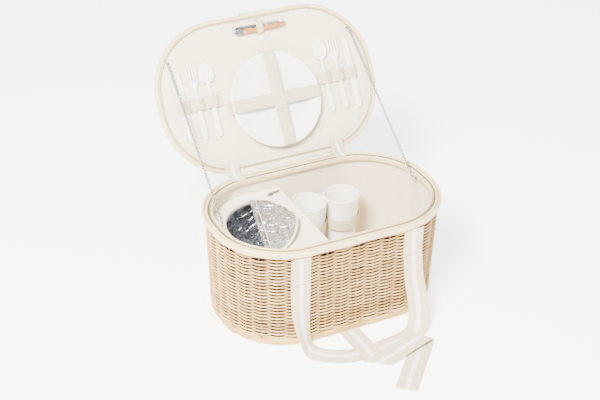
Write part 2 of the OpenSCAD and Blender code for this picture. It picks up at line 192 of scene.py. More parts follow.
class Finish:
    def __init__(self, name, colour, roughness, metallic=0.0, **steady):
        self.material = bpy.data.materials.new(name)
        self.material.use_nodes = True
        self.tree = self.material.node_tree
        self.shader = self.tree.nodes["Principled BSDF"]
        self.shader.inputs["Base Color"].default_value = (*colour, 1)
        self.shader.inputs["Roughness"].default_value = roughness
        self.shader.inputs["Metallic"].default_value = metallic
        for key, value in steady.items():
            self.shader.inputs[key.replace("_", " ")].default_value = value

    def node(self, kind, output=0, settings=None, **inputs):
        node = self.tree.nodes.new(kind)
        for key, value in (settings or {}).items():
            setattr(node, key, value)
        for key, value in inputs.items():
            plug(self.tree, node.inputs[key.replace("_", " ")], value)
        return Wire(self.tree, node.outputs[output])

    def place(self):
        return self.node("ShaderNodeTexCoord", output="Object")

    def uv(self):
        return self.node("ShaderNodeTexCoord", output="UV")

    def parts(self, vector):
        node = self.tree.nodes.new("ShaderNodeSeparateXYZ")
        plug(self.tree, node.inputs[0], vector)
        return [Wire(self.tree, output) for output in node.outputs]

    def join(self, x, y, z=0.0):
        return self.node("ShaderNodeCombineXYZ", X=x, Y=y, Z=z)

    def noise(self, vector, scale, detail=3.0, roughness=0.55, distortion=0.0):
        return self.node("ShaderNodeTexNoise", Vector=vector, Scale=scale, Detail=detail,
                         Roughness=roughness, Distortion=distortion)

    def cells(self, vector, scale, output="Distance", feature="F1"):
        return self.node("ShaderNodeTexVoronoi", output=output, settings={"feature": feature},
                         Vector=vector, Scale=scale)

    def attribute(self, name):
        return self.node("ShaderNodeAttribute", output="Fac", settings={"attribute_name": name})

    def mix(self, share, first, second):
        node = self.tree.nodes.new("ShaderNodeMix")
        node.data_type = "RGBA"
        for index, value in ((0, share), (6, first), (7, second)):
            if isinstance(value, tuple):
                value = (*value, 1)
            plug(self.tree, node.inputs[index], value)
        return Wire(self.tree, node.outputs[2])

    def colour(self, value):
        plug(self.tree, self.shader.inputs["Base Color"], value)

    def rough(self, value):
        plug(self.tree, self.shader.inputs["Roughness"], value)

    def bump(self, height, distance, strength=1.0):
        normal = self.node("ShaderNodeBump", Height=height, Distance=distance, Strength=strength)
        plug(self.tree, self.shader.inputs["Normal"], normal)


# %% [markdown]
# ### The materials
# Cane has a tint for each strand, fine grain along it, darker scuffs, and painted shade that darkens it
# where a strand passes behind a stake.
# Cloth, webbing and elastic get their real weave as bump, a millimetre or less apart.
# Foil is bright metal with sharp creases. Plastic, steel and wood have fine wear.

# %% Materials
def make_cane(name, pale, dark, roughness, deep=(0.030, 0.013, 0.004)):
    made = Finish(name, pale, roughness, Specular_IOR_Level=0.4)
    tint = made.attribute("tint")
    place = made.place()
    x, y, z = made.parts(place)
    streak = made.noise(made.join(x * 0.35, y * 0.35, z * 3.0), 420.0, 2.0)
    blotch = made.noise(place, 26.0, 3.0)
    share = (tint * 0.62 + streak * 0.55 + blotch * 0.5 - 0.42).ramp(0.0, 1.0)
    surface = made.mix(share, pale, dark)
    # Painted shade: the strand's colour goes towards near-black where it lies behind a stake.
    painted_shade = made.attribute("depth").ramp(0.30, 0.80)
    made.colour(made.mix(painted_shade, surface, deep))
    made.rough(streak * 0.25 + (roughness - 0.1))
    made.bump(streak, 0.0004, 0.5)
    return made.material


def make_smooth_cane(name, pale, dark):
    """Cane with its grain running along the piece, from its own UV map."""
    made = Finish(name, pale, 0.38, Specular_IOR_Level=0.45, Coat_Weight=0.12, Coat_Roughness=0.3)
    u, v, _ = made.parts(made.uv())
    grain = made.noise(made.join(u * 14.0, v * 1500.0), 1.0, 4.0, 0.6, 0.3)
    blotch = made.noise(made.join(u * 22.0, v * 60.0), 1.0, 2.0)
    made.colour(made.mix((grain * 0.75 + blotch * 0.5 - 0.3).ramp(0.0, 1.0), pale, dark))
    made.rough(grain * 0.22 + 0.27)
    made.bump(grain, 0.0003, 0.5)
    return made.material


def make_cloth(name, colour, shade, wrinkle=0.0012):
    """A plain weave of two sets of threads, with soft wrinkles and faint slubs."""
    made = Finish(name, colour, 0.86, Specular_IOR_Level=0.25, Sheen_Weight=0.15)
    place = made.place()
    x, y, z = made.parts(place)
    threads = (x * 7800.0).sine() * (y * 7800.0 + z * 7800.0).sine()
    slub = made.noise(made.join(x * 60.0, y * 900.0, z * 60.0), 1.0, 2.0)
    soft = made.noise(place, 16.0, 3.0, 0.5, 0.4)
    made.colour(made.mix((soft * 0.8 + slub * 0.3 - 0.2).ramp(0.1, 0.9), colour, shade))
    made.bump(threads * 0.10 + slub * 0.12 + soft, wrinkle, 0.7)
    return made.material


def make_webbing(name, colour, stripe, shade):
    """Strap webbing: u runs 0 to 1 across, v is the length in metres."""
    made = Finish(name, colour, 0.72, Specular_IOR_Level=0.3, Sheen_Weight=0.2)
    u, v, _ = made.parts(made.uv())
    offset = (u - 0.5).size()
    line = 1.0 - offset.ramp(0.105, 0.118)
    edge = offset.ramp(0.44, 0.5)
    rib = (v * 3600.0 + (u * 120.0).sine() * 1.2).sine()
    cords = (u * 190.0).sine()
    worn = made.noise(made.join(u * 9.0, v * 60.0), 1.0, 3.0)
    base = made.mix(line, colour, stripe)
    darker = (rib * -0.16 + cords * -0.10 + worn * 0.5 + edge * 0.25).ramp(0.2, 1.0)
    made.colour(made.mix(darker, base, shade))
    made.bump(rib * 0.5 + cords * 0.3 + worn * 0.4, 0.0005, 0.6)
    return made.material


def make_elastic(name, colour, shade):
    """Ribbed elastic: the ribs run along v."""
    made = Finish(name, colour, 0.7, Specular_IOR_Level=0.3)
    u, v, _ = made.parts(made.uv())
    rib = (u * 100.0).sine()
    thread = (v * 5200.0).sine()
    wear = made.noise(made.join(u * 6.0, v * 70.0), 1.0, 2.0)
    made.colour(made.mix((rib * -0.22 + wear * 0.5 + 0.1).ramp(0.0, 1.0), colour, shade))
    made.bump(rib * 0.7 + thread * 0.25, 0.0004, 0.6)
    return made.material


def make_foil(name):
    """Crinkled insulating foil: flat facets of many sizes with sharp folds."""
    made = Finish(name, (0.80, 0.81, 0.83), 0.26, 1.0)
    place = made.place()
    bend = made.noise(place, 22.0, 3.0, 0.6)
    big = made.cells(place, 62.0)
    small = made.cells(place, 190.0)
    fold = made.cells(place, 45.0, feature="DISTANCE_TO_EDGE")
    # Painted light and shade: the foil colour steps between light and dark cell by cell, as facets that
    # catch the light differently.
    made.colour(made.mix(small.ramp(0.1, 0.9), (0.66, 0.67, 0.69), (0.34, 0.35, 0.38)))
    made.rough(bend * 0.35 + 0.14)
    made.bump(bend * 2.2 + big * 1.2 + small * 0.45 + fold.ramp(0.0, 0.12) * 0.6, 0.0035, 1.0)
    return made.material


def make_steel(name):
    made = Finish(name, (0.74, 0.74, 0.75), 0.24, 1.0)
    place = made.place()
    scuff = made.noise(place, 900.0, 3.0)
    cloud = made.noise(place, 60.0, 2.0)
    made.colour(made.mix(cloud, (0.40, 0.39, 0.38), (0.20, 0.20, 0.21)))
    made.rough(scuff * 0.2 + cloud * 0.15 + 0.1)
    made.bump(scuff, 0.00012, 0.4)
    return made.material


def make_tableware(name, colour, shade):
    """Satin moulded plastic with faint swirl marks."""
    made = Finish(name, colour, 0.34, Specular_IOR_Level=0.5, Subsurface_Weight=0.06,
                  Subsurface_Scale=0.004, Coat_Weight=0.1, Coat_Roughness=0.25)
    place = made.place()
    mark = made.noise(place, 700.0, 4.0, 0.7)
    cloud = made.noise(place, 30.0, 2.0)
    made.colour(made.mix((cloud * 0.7 + mark * 0.2).ramp(0.2, 0.9), colour, shade))
    made.rough(mark * 0.2 + cloud * 0.12 + 0.2)
    made.bump(mark * 0.2 + cloud, 0.00016, 0.5)
    return made.material


def make_wood(name):
    made = Finish(name, (0.66, 0.36, 0.13), 0.36, Coat_Weight=0.25, Coat_Roughness=0.2)
    x, y, z = made.parts(made.place())
    bend = made.noise(made.join(x * 12.0, y * 12.0, z * 12.0), 1.0, 2.0)
    grain = made.noise(made.join(x * 28.0, (y + z) * 520.0 + bend * 6.0, z * 200.0), 1.0, 4.0, 0.65)
    made.colour(made.mix(grain.ramp(0.3, 0.72), (0.60, 0.24, 0.05), (0.22, 0.07, 0.013)))
    made.rough(grain * 0.25 + 0.22)
    made.bump(grain, 0.0002, 0.5)
    return made.material


def make_thread(name, colour, shade):
    made = Finish(name, colour, 0.7)
    twist = made.noise(made.place(), 2600.0, 2.0)
    made.colour(made.mix(twist.ramp(0.3, 0.7), colour, shade))
    made.bump(twist, 0.0002, 0.6)
    return made.material


CANE = make_cane("woven cane", (0.72, 0.475, 0.185), (0.40, 0.205, 0.055), 0.5)
# Stakes: cane a little darker than the strands, darkened much further as painted shade of the slots they
# show through.
STAKE = make_cane("cane stakes in painted shade", (0.24, 0.13, 0.045), (0.10, 0.045, 0.013), 0.55)
GAP = make_cane("shadowed cane", (0.020, 0.009, 0.003), (0.01, 0.004, 0.001), 0.8)
HOOP = make_smooth_cane("smooth cane hoop", (0.76, 0.60, 0.34), (0.52, 0.31, 0.11))
LINING = make_cloth("cream lining", (0.80, 0.69, 0.51), (0.68, 0.555, 0.375))
PANEL = make_cloth("cooler cloth", (0.86, 0.775, 0.63), (0.74, 0.63, 0.465), 0.0009)
BINDING = make_elastic("binding tape", (0.84, 0.735, 0.52), (0.60, 0.47, 0.27))
WEBBING = make_webbing("striped webbing", (0.66, 0.53, 0.35), (0.88, 0.81, 0.80), (0.44, 0.33, 0.19))
ELASTIC = make_elastic("ribbed elastic", (0.66, 0.58, 0.40), (0.44, 0.37, 0.22))
FOIL = make_foil("crinkled foil")
STEEL = make_steel("nickel steel")
TABLEWARE = make_tableware("white tableware", (0.90, 0.875, 0.80), (0.84, 0.80, 0.71))
CUTLERY = make_tableware("off-white cutlery", (0.86, 0.825, 0.735), (0.77, 0.72, 0.61))
WOOD = make_wood("oiled wood")
THREAD = make_thread("pale thread", (0.86, 0.79, 0.63), (0.62, 0.52, 0.34))
LASHING = make_thread("brown lashing", (0.16, 0.09, 0.04), (0.07, 0.035, 0.012))
print("materials", len(bpy.data.materials))

# %% [markdown]
# ## Camera, floor and light
# The camera looks down at the basket from the front left corner.
# A large pale floor, one broad key light and two fills give soft shadows.

# %% Camera, floor and light
def look_along(azimuth, elevation):
    turn = math.radians(azimuth)
    tilt = math.radians(elevation)
    return Vector((-math.sin(turn) * math.cos(tilt), math.cos(turn) * math.cos(tilt), -math.sin(tilt)))


ahead = look_along(-26.77, 31.21)
sideways = ahead.cross(Vector((0, 0, 1))).normalized()
upwards = sideways.cross(ahead).normalized()
target = Vector((0, 0, 0.12)) - 0.0443 * sideways + 0.0839 * upwards
roll = math.radians(0.8)
across = sideways * math.cos(roll) + upwards * math.sin(roll)
upright = across.cross(ahead)
camera_data = bpy.data.cameras.new("camera")
camera_data.sensor_width = 36
camera_data.lens = 93.65
camera = bpy.data.objects.new("camera", camera_data)
turned = Matrix((across, upright, -ahead)).transposed().to_4x4()
camera.matrix_world = Matrix.Translation(target - ahead * 3.109) @ turned
bpy.context.collection.objects.link(camera)
bpy.context.scene.camera = camera


def add_light(name, place, aim, size, power, colour=(1, 1, 1)):
    data = bpy.data.lights.new(name, "AREA")
    data.shape = "RECTANGLE"
    data.size = size[0]
    data.size_y = size[1]
    data.energy = power
    data.color = colour
    light = bpy.data.objects.new(name, data)
    facing = (Vector(aim) - Vector(place)).to_track_quat("-Z", "Y").to_matrix().to_4x4()
    light.matrix_world = Matrix.Translation(place) @ facing
    bpy.context.collection.objects.link(light)


add_light("key", (-1.6, -1.3, 2.6), (0, 0, 0.15), (0.9, 0.9), 640, (1.0, 0.985, 0.96))
add_light("fill", (2.4, -1.8, 1.8), (0, 0, 0.15), (2.0, 2.0), 80, (0.97, 0.985, 1.0))
add_light("back", (0.6, 2.6, 2.2), (0, 0, 0.3), (2.4, 1.6), 45)
world = bpy.data.worlds.new("studio")
world.use_nodes = True
world.node_tree.nodes["Background"].inputs["Color"].default_value = (1.0, 1.0, 1.0, 1)
world.node_tree.nodes["Background"].inputs["Strength"].default_value = 1.15
bpy.context.scene.world = world

floor_finish = Finish("pale floor", (0.93, 0.93, 0.93), 0.9, Specular_IOR_Level=0.1,
                      Emission_Color=(1, 1, 1, 1), Emission_Strength=2.6)
speckle = floor_finish.noise(floor_finish.place(), 3.0, 2.0)
floor_finish.colour(floor_finish.mix(speckle, (0.935, 0.935, 0.935), (0.925, 0.925, 0.925)))
floor_mesh = bpy.data.meshes.new("floor")
reach = 14.0
floor_mesh.from_pydata([(-reach, -reach, 0), (reach, -reach, 0), (reach, reach, 0), (-reach, reach, 0)],
                       [], [(0, 1, 2, 3)])
floor_mesh.materials.append(floor_finish.material)
floor = bpy.data.objects.new("floor", floor_mesh)
bpy.context.collection.objects.link(floor)
print("camera at", [round(value, 3) for value in camera.matrix_world.translation])

# %% [markdown]
# ## Building tools
# `loft` joins closed cross-sections into a skin, with u round or across it and v along it.
# `piece` turns a mesh into an object, gives it a material and tells the frame what it rides on.
# `sweep_tree` is a Geometry Nodes tree that turns paths into round strands, each with its own tint.
# `beads_tree` sets small rounded shapes along a path, for stitches, lashings and zip teeth.

# %% Building tools
def loft(sections, uv=None, loop=False, caps=True):
    """A mesh from an array of closed sections, (sections, points, 3)."""
    sections = np.asarray(sections, float)
    count, points = sections.shape[:2]
    mesh = bpy.data.meshes.new("loft")
    faces = []
    steps = []
    for i in range(count if loop else count - 1):
        for j in range(points):
            a = i * points + j
            b = i * points + (j + 1) % points
            up = ((i + 1) % count) * points
            faces.append((a, b, up + (j + 1) % points, up + j))
            steps.append(((i, j), (i, j + 1), (i + 1, j + 1), (i + 1, j)))
    if caps and not loop:
        faces.append(tuple(reversed(range(points))))
        faces.append(tuple((count - 1) * points + j for j in range(points)))
    mesh.from_pydata(sections.reshape(-1, 3), [], faces)
    if uv is None:
        around = np.linalg.norm(np.diff(np.concatenate([sections, sections[:, :1]], 1), axis=1), axis=2)
        around = np.concatenate([np.zeros((count, 1)), np.cumsum(around, 1)], 1)
        along = np.linalg.norm(np.diff(sections.mean(1), axis=0), axis=1)
        along = np.concatenate([[0], np.cumsum(along)])
        along = np.append(along, along[-1] + along[1])
        around = np.concatenate([around, around[:1]])
        uv = np.stack([np.broadcast_to(along[:, None], around.shape), around], -1)
    layer = mesh.uv_layers.new(name="lay")
    spots = [uv[i][j] for face in steps for i, j in face]
    spots += [uv[0][0]] * (len(mesh.loops) - len(spots))
    layer.data.foreach_set("uv", np.array(spots, float).ravel())
    mesh.shade_smooth()
    return mesh


def piece(name, mesh, body, material, replaces=(), lid=False):
    """Make the object, place it and say what it rides on."""
    mesh.name = name
    if lid:
        mesh.transform(LID)
    if material is not None:
        mesh.materials.clear()
        mesh.materials.append(material)
    made = bpy.data.objects.new(name, mesh)
    bpy.context.collection.objects.link(made)
    if body:
        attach(made, body)
    if replaces:
        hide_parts(*replaces)
    return made


def joined(meshes):
    """One mesh from several, keeping each one's materials."""
    objects = []
    for mesh in meshes:
        made = bpy.data.objects.new("part", mesh)
        bpy.context.collection.objects.link(made)
        objects.append(made)
    with bpy.context.temp_override(active_object=objects[0], selected_editable_objects=objects):
        bpy.ops.object.join()
    mesh = objects[0].data
    bpy.data.objects.remove(objects[0])
    return mesh


def evaluated(made):
    """A plain mesh of an object with its modifiers, which are then removed with it."""
    graph = bpy.context.evaluated_depsgraph_get()
    graph.update()
    mesh = bpy.data.meshes.new_from_object(made.evaluated_get(graph))
    made.modifiers.clear()
    bpy.data.objects.remove(made)
    return mesh


class Tree:
    """A Geometry Nodes tree that is written like a list of steps."""
    def __init__(self, name, **inputs):
        self.tree = bpy.data.node_groups.new(name, "GeometryNodeTree")
        self.tree.interface.new_socket("Geometry", in_out="INPUT", socket_type="NodeSocketGeometry")
        self.tree.interface.new_socket("Geometry", in_out="OUTPUT", socket_type="NodeSocketGeometry")
        for key, kind in inputs.items():
            self.tree.interface.new_socket(key, in_out="INPUT", socket_type="NodeSocket" + kind)
        self.start = self.tree.nodes.new("NodeGroupInput")

    def given(self, name):
        return self.start.outputs[name]

    def add(self, kind, output=0, settings=None, **inputs):
        node = self.tree.nodes.new(kind)
        for key, value in (settings or {}).items():
            setattr(node, key, value)
        for key, value in inputs.items():
            socket = node.inputs[int(key[1:])] if key[0] == "_" else node.inputs[key.replace("_", " ")]
            if isinstance(value, bpy.types.NodeSocket):
                self.tree.links.new(value, socket)
            else:
                socket.default_value = value
        return node.outputs[output]

    def finish(self, geometry):
        smooth_mesh = self.add("GeometryNodeSetShadeSmooth", Geometry=geometry)
        real = self.add("GeometryNodeRealizeInstances", Geometry=smooth_mesh)
        coloured = self.add("GeometryNodeSetMaterial", Geometry=real, Material=self.given("Material"))
        end = self.tree.nodes.new("NodeGroupOutput")
        self.tree.links.new(coloured, end.inputs[0])
        return self.tree


def run(tree, source, **values):
    """Run a tree on curve or mesh data and return a plain mesh."""
    made = bpy.data.objects.new("source", source)
    bpy.context.collection.objects.link(made)
    modifier = made.modifiers.new("build", "NODES")
    modifier.node_group = tree
    for item in tree.interface.items_tree:
        if item.in_out == "INPUT" and item.name in values:
            modifier[item.identifier] = values[item.name]
    made.update_tag()
    return evaluated(made)


def paths(lines, closed=True, radii=None, depths=None):
    """Curve data from a list of paths. The tilt carries how deep a strand lies in the weave."""
    data = bpy.data.curves.new("paths", "CURVE")
    data.dimensions = "3D"
    for index, line in enumerate(lines):
        line = np.asarray(line, float)
        spline = data.splines.new("POLY")
        spline.points.add(len(line) - 1)
        spline.points.foreach_set("co", np.concatenate([line, np.ones((len(line), 1))], 1).ravel())
        spline.use_cyclic_u = closed
        if radii is not None:
            spline.points.foreach_set("radius", np.broadcast_to(radii[index], len(line)).copy())
        if depths is not None:
            spline.points.foreach_set("tilt", np.broadcast_to(depths[index], len(line)).copy())
    return data


def make_sweep_tree():
    tree = Tree("sweep a strand", Radius="Float", Sides="Int", Seed="Int", Material="Material")
    tint = tree.add("FunctionNodeRandomValue", output=1, Seed=tree.given("Seed"))
    tinted = tree.add("GeometryNodeStoreNamedAttribute", settings={"domain": "CURVE"},
                      Geometry=tree.given("Geometry"), Name="tint", Value=tint)
    depth = tree.add("GeometryNodeInputCurveTilt")
    marked = tree.add("GeometryNodeStoreNamedAttribute", settings={"domain": "POINT"},
                      Geometry=tinted, Name="depth", Value=depth)
    circle = tree.add("GeometryNodeCurvePrimitiveCircle", Resolution=tree.given("Sides"),
                      Radius=tree.given("Radius"))
    scale = tree.add("GeometryNodeInputRadius")
    skin = tree.add("GeometryNodeCurveToMesh", Curve=marked, Profile_Curve=circle, Scale=scale,
                    Fill_Caps=True)
    return tree.finish(skin)


def make_beads_tree():
    tree = Tree("set beads along a path", Pitch="Float", Size="Vector", Seed="Int", Material="Material")
    points = tree.tree.nodes.new("GeometryNodeCurveToPoints")
    points.mode = "LENGTH"
    tree.tree.links.new(tree.given("Geometry"), points.inputs["Curve"])
    tree.tree.links.new(tree.given("Pitch"), points.inputs["Length"])
    ball = tree.add("GeometryNodeMeshUVSphere", Segments=8, Rings=6, Radius=1.0)
    beads = tree.add("GeometryNodeInstanceOnPoints", Points=points.outputs["Points"], Instance=ball,
                     Rotation=points.outputs["Rotation"], Scale=tree.given("Size"))
    return tree.finish(beads)


SWEEP = make_sweep_tree()
BEADS = make_beads_tree()


def strands(lines, radius, material, sides=6, seed=1, closed=True, radii=None, depths=None):
    return run(SWEEP, paths(lines, closed, radii, depths), Radius=radius, Sides=sides, Seed=seed,
               Material=material)


def beads(lines, pitch, size, material, closed=True):
    return run(BEADS, paths(lines, closed), Pitch=pitch, Size=size, Seed=3, Material=material)


print("trees", [tree.name for tree in bpy.data.node_groups])

# %% [markdown]
# ## The woven wall
# Upright stakes stand round the wall, and each row of cane passes in front of one stake
# and behind the next. The next row does the opposite, which is what a plain weave is.
# The rows are closed paths, so a single sweep gives every strand its round body and tint.

# %% Woven wall
WALL = 0.0092


def weave_row(height, phase, swing=0.0029, inset=WALL, steps=10):
    share = np.arange(STAKES * steps) / (STAKES * steps)
    beat = np.cos(math.pi * (share * STAKES + phase))
    swell = random.normal(0, 0.00012, 7)
    lift = sum(swell[k] * np.cos(2 * math.pi * share * (k + 1) + k) for k in range(7))
    return ring_points(share, inset - swing * beat, height + lift)


def weave_depth(phase, steps=10):
    """0 in front of a stake and 1 behind it."""
    share = np.arange(STAKES * steps) / (STAKES * steps)
    return 0.5 - 0.5 * np.cos(math.pi * (share * STAKES + phase))


def wale_row(height, number, swing=0.0026, inset=WALL, lift=0.0012):
    """One of three strands that twist over each other as they go round."""
    share = np.arange(STAKES * 10) / (STAKES * 10)
    beat = 2 * math.pi * (share * 36 / 3 + number / 3)
    return ring_points(share, inset - swing * np.cos(beat), height + lift * np.sin(beat))


rows = [weave_row(0.0195 + 0.00372 * k, k) for k in range(49)]
wales = [wale_row(0.2025 + 0.0022 * k, k, 0.0022, WALL, 0.0005) for k in range(3)]
stake_lines = []
for k in range(STAKES):
    share = np.full(16, k / STAKES)
    stake_lines.append(ring_points(share, WALL, np.linspace(0.010, 0.2165, 16)))
depths = [weave_depth(k) for k in range(49)]
wall_low = strands(rows[:25], 0.00154, CANE, 6, 1, depths=depths[:25])
wall_high = strands(rows[25:] + wales, 0.00154, CANE, 6, 2, depths=depths[25:] + [0, 0, 0])
stakes = strands(stake_lines, 0.0015, STAKE, 6, 3, closed=False)
piece("wicker_rows_low", wall_low, "root", None, ["wicker_body"])
piece("wicker_rows_high", wall_high, "root", None, [])
piece("wicker_stakes", stakes, "root", None, [])
print("rows", len(rows), "faces", len(wall_low.polygons) + len(wall_high.polygons))


def oval_band(profile, shares=240, lid=False):
    """A closed ring whose cross-section is a list of (inset, height) points."""
    share = np.arange(shares) / shares
    place = lid_ring if lid else ring_points
    lines = [place(share, inset, height) for inset, height in profile]
    return loft(np.stack(lines, 1), loop=True)


def rounded(low, high, bulge=2.6, points=12):
    """A rounded rectangle between two (inset, height) corners."""
    turn = np.linspace(0, 2 * math.pi, points, endpoint=False)
    middle = (np.asarray(low) + high) / 2
    half = (np.asarray(high) - low) / 2
    soft = 2 / bulge
    x = np.sign(np.cos(turn)) * np.abs(np.cos(turn)) ** soft
    z = np.sign(np.sin(turn)) * np.abs(np.sin(turn)) ** soft
    return [(middle[0] + half[0] * a, middle[1] + half[1] * b) for a, b in zip(x, z)]


# %% [markdown]
# ## Painted shade sheet, foot and base
# A near-black sheet behind the weave is painted shade for the gaps.
# The foot is a border of two ropes of three strands, and the base is a flat oval spiral.

# %% Painted shade sheet, foot and base
# Painted shade: a near-black sheet behind the wall darkens the gaps in the weave.
gap_shade = oval_band([(0.0130, 0.012), (0.0134, 0.012), (0.0134, 0.218), (0.0130, 0.218)], 160)
piece("wall_gap_shade", gap_shade, "root", GAP, [])
foot = [wale_row(height, number, 0.0034, 0.0098, 0.0016)
        for height in (0.0042, 0.0086, 0.0130) for number in range(3)]
foot += [weave_row(0.0166, 0, 0.0029)]
piece("foot_border", strands(foot, 0.00185, CANE, 6, 5), "root", None, ["base_border"])
base_rows = []
for k in range(20):
    share = np.arange(220) / 220
    beat = np.cos(math.pi * (share * STAKES + k))
    base_rows.append(ring_points(share, 0.018 + 0.0068 * k, 0.0085 - 0.0016 * beat))
spokes = []
for k in range(7):
    x = -0.096 + 0.032 * k
    spokes.append([(x, y, 0.0085) for y in np.linspace(-0.135, 0.135, 12)])
base_mesh = joined([strands(base_rows, 0.0030, CANE, 6, 6), strands(spokes, 0.0024, STAKE, 6, 7, False)])
piece("woven_base", base_mesh, "root", None, ["wicker_base"])
SLAT_HALF = (0.190, 0.012)
SLAT_ROUNDING = 0.001
slat_sections = []
for x in (-SLAT_HALF[0], -SLAT_HALF[0] + 0.002, SLAT_HALF[0] - 0.002, SLAT_HALF[0]):
    inset = 0.001 if abs(x) == SLAT_HALF[0] else 0.0
    wide = SLAT_HALF[1] - inset
    low, high = inset, 0.0060 - inset
    near = wide - SLAT_ROUNDING
    corners = [(-wide, low + SLAT_ROUNDING), (-near, low), (near, low), (wide, low + SLAT_ROUNDING),
               (wide, high - SLAT_ROUNDING), (near, high), (-near, high), (-wide, high - SLAT_ROUNDING)]
    slat_sections.append([(x, y, z) for y, z in corners])
piece("base_slat", loft(slat_sections), "root", HOOP, [])

# %% [markdown]
# ## Rim hoops
# Two bent rattan hoops hold the top of the weave: a broad flat one outside and a thinner one inside.
# Between them lies a filler rod, wrapped by short lashings.

# %% Rim hoops
outer = oval_band(rounded((0.0004, 0.2066), (0.0055, 0.2198), 3.0, 16))
piece("rim_outer_band", outer, "root", HOOP, ["rim_outer_hoop"])
inner = oval_band(rounded((0.0174, 0.2074), (0.0226, 0.2192), 2.6, 14))
piece("rim_inner_band", inner, "root", HOOP, ["rim_inner_hoop"])
filler = oval_band(rounded((0.0060, 0.2128), (0.0125, 0.2192), 2.0, 10))
piece("rim_filler_rod", filler, "root", HOOP, [])
share = np.arange(300) / 300
rim_lash = beads([ring_points(share, 0.0146, 0.2178)], 0.0055, (0.0016, 0.0010, 0.0012), LASHING)
piece("rim_lashings", rim_lash, "root", None, [])

# %% [markdown]
# ## Lining
# The cloth lining follows the wall inside, with slow ripples where it is not held tight,
# and a line of stitches runs round it under the rim.

# %% Lining
shares = np.arange(300) / 300
ripple = 0.0006 * np.sin(shares * 2 * math.pi * 23) + 0.0004 * np.sin(shares * 2 * math.pi * 41 + 1)
levels = [0.2165, 0.212, 0.205, 0.19, 0.17, 0.14, 0.10, 0.06, 0.035, 0.024, 0.0185]
slack = [0, 0, 0.2, 0.7, 1, 1.2, 1.2, 1, 0.6, 0.2, 0]
inside = [ring_points(shares, 0.0156 + ripple * s, z) for z, s in zip(levels, slack)]
inside.append(ring_points(shares, 0.0185, 0.0168))
inside += [ring_points(shares, inset, 0.0165) for inset in (0.026, 0.06, 0.10, 0.135)]
closing_in = (0.7, 0.4, 0.15, 0.001)
inside += [ring_points(shares, 0.135, 0.0165) * [size, size, 1] for size in closing_in]
outside = [ring_points(shares, 0.135, 0.0150) * [size, size, 1] for size in closing_in[::-1]]
outside += [ring_points(shares, inset, 0.0150) for inset in (0.135, 0.10, 0.06, 0.026)]
outside += [ring_points(shares, 0.0142, z) for z in (0.018, 0.06, 0.12, 0.18, 0.2165)]
lining = loft(np.stack(inside + outside, 1), loop=True)
piece("cloth_lining", lining, "root", LINING, ["lining"])
stitches = beads([ring_points(shares, 0.01545, 0.2035)], 0.0042, (0.0003, 0.0003, 0.0013), THREAD)
piece("lining_stitches", stitches, "root", None, [])
print("lining built")

# %% [markdown]
# ## Lid
# The lid is a thin hoop of two rods, lashed together every few millimetres.
# Its outside is woven as ovals inside one another over a low crown,
# and its inside is a flat cloth lining with a seam near the edge.

# %% Lid
def crown(inset):
    """How far out of the lining the woven outside stands at an inset."""
    part = np.clip((np.asarray(inset) - 0.010) / 0.055, 0, 1)
    return -0.0118 - 0.0095 * part * part * (3 - 2 * part)


def lid_weave(inset, phase):
    share = np.arange(STAKES * 8) / (STAKES * 8)
    beat = np.cos(math.pi * (share * STAKES + phase))
    return lid_ring(share, inset, crown(inset) + 0.0013 * beat)


lid_rows = [lid_weave(0.0125 + 0.0041 * k, k) for k in range(32)]
lid_spokes = []
for k in range(STAKES):
    insets = np.linspace(0.009, 0.130, 14)
    lid_spokes.append(lid_ring(np.full(14, k / STAKES), insets, crown(insets)))
bars = [[(x, LID_CENTRE + y, -0.0213 + 0.0004 * math.sin(x * 90 + y * 900))
         for x in np.linspace(-0.1, 0.1, 24)]
        for y in np.linspace(-0.0115, 0.0115, 7)]
# How deep each lid row lies at each point; the cane material darkens it there as painted shade.
lid_depths = [0.5 - 0.5 * np.cos(math.pi * (np.arange(STAKES * 8) / 8 + k)) for k in range(32)]
lid_depths = [0.9 * (1 - part) for part in lid_depths]
lid_outside = joined([strands(lid_rows, 0.0019, CANE, 6, 11, depths=lid_depths),
                      strands(lid_spokes, 0.0015, STAKE, 5, 12, False),
                      strands(bars, 0.0019, CANE, 6, 13, False)])
piece("lid_weave", lid_outside, "lid", None, ["lid_shell"], lid=True)


def oval_sheet(rings, shares=200):
    """A filled oval in the lid's plane from a list of (inset, n) rings, closed at both ends."""
    share = np.arange(shares) / shares
    return loft([lid_ring(share, inset, n) for inset, n in rings])


# Painted shade: a near-black sheet under the lid weave darkens the gaps between its strands.
shadow = oval_sheet([(0.139, -0.0112), (0.06, -0.0112), (0.0105, -0.0104), (0.0105, -0.0100),
                     (0.139, -0.0108)])
piece("lid_gap_shade", shadow, "lid", GAP, [], lid=True)

front_rod = oval_band(rounded((0.0002, -0.0096), (0.0080, -0.0014), 2.2, 14), lid=True)
rear_rod = oval_band(rounded((0.0006, -0.0143), (0.0078, -0.0090), 2.2, 12), lid=True)
inner_rod = oval_band(rounded((0.0078, -0.0080), (0.0108, -0.0022), 2.0, 10), lid=True)
piece("lid_hoop_front", front_rod, "lid", HOOP, ["lid_rim"], lid=True)
piece("lid_hoop_back", rear_rod, "lid", HOOP, [], lid=True)
piece("lid_hoop_inner", inner_rod, "lid", HOOP, [], lid=True)
share = np.arange(300) / 300
lash = beads([lid_ring(share, 0.0098, -0.0020)], 0.0055, (0.0015, 0.0012, 0.0011), LASHING)
piece("lid_lashings", lash, "lid", None, [], lid=True)
rings = [(0.139, -0.0042), (0.10, -0.0036), (0.06, -0.0034), (0.03, -0.0034), (0.0175, -0.0036),
         (0.0158, -0.0045), (0.0148, -0.0045), (0.0135, -0.0036), (0.0116, -0.0042), (0.0113, -0.0060),
         (0.0113, -0.0098), (0.03, -0.0100), (0.139, -0.0100)]
lid_cloth = oval_sheet(rings, 240)
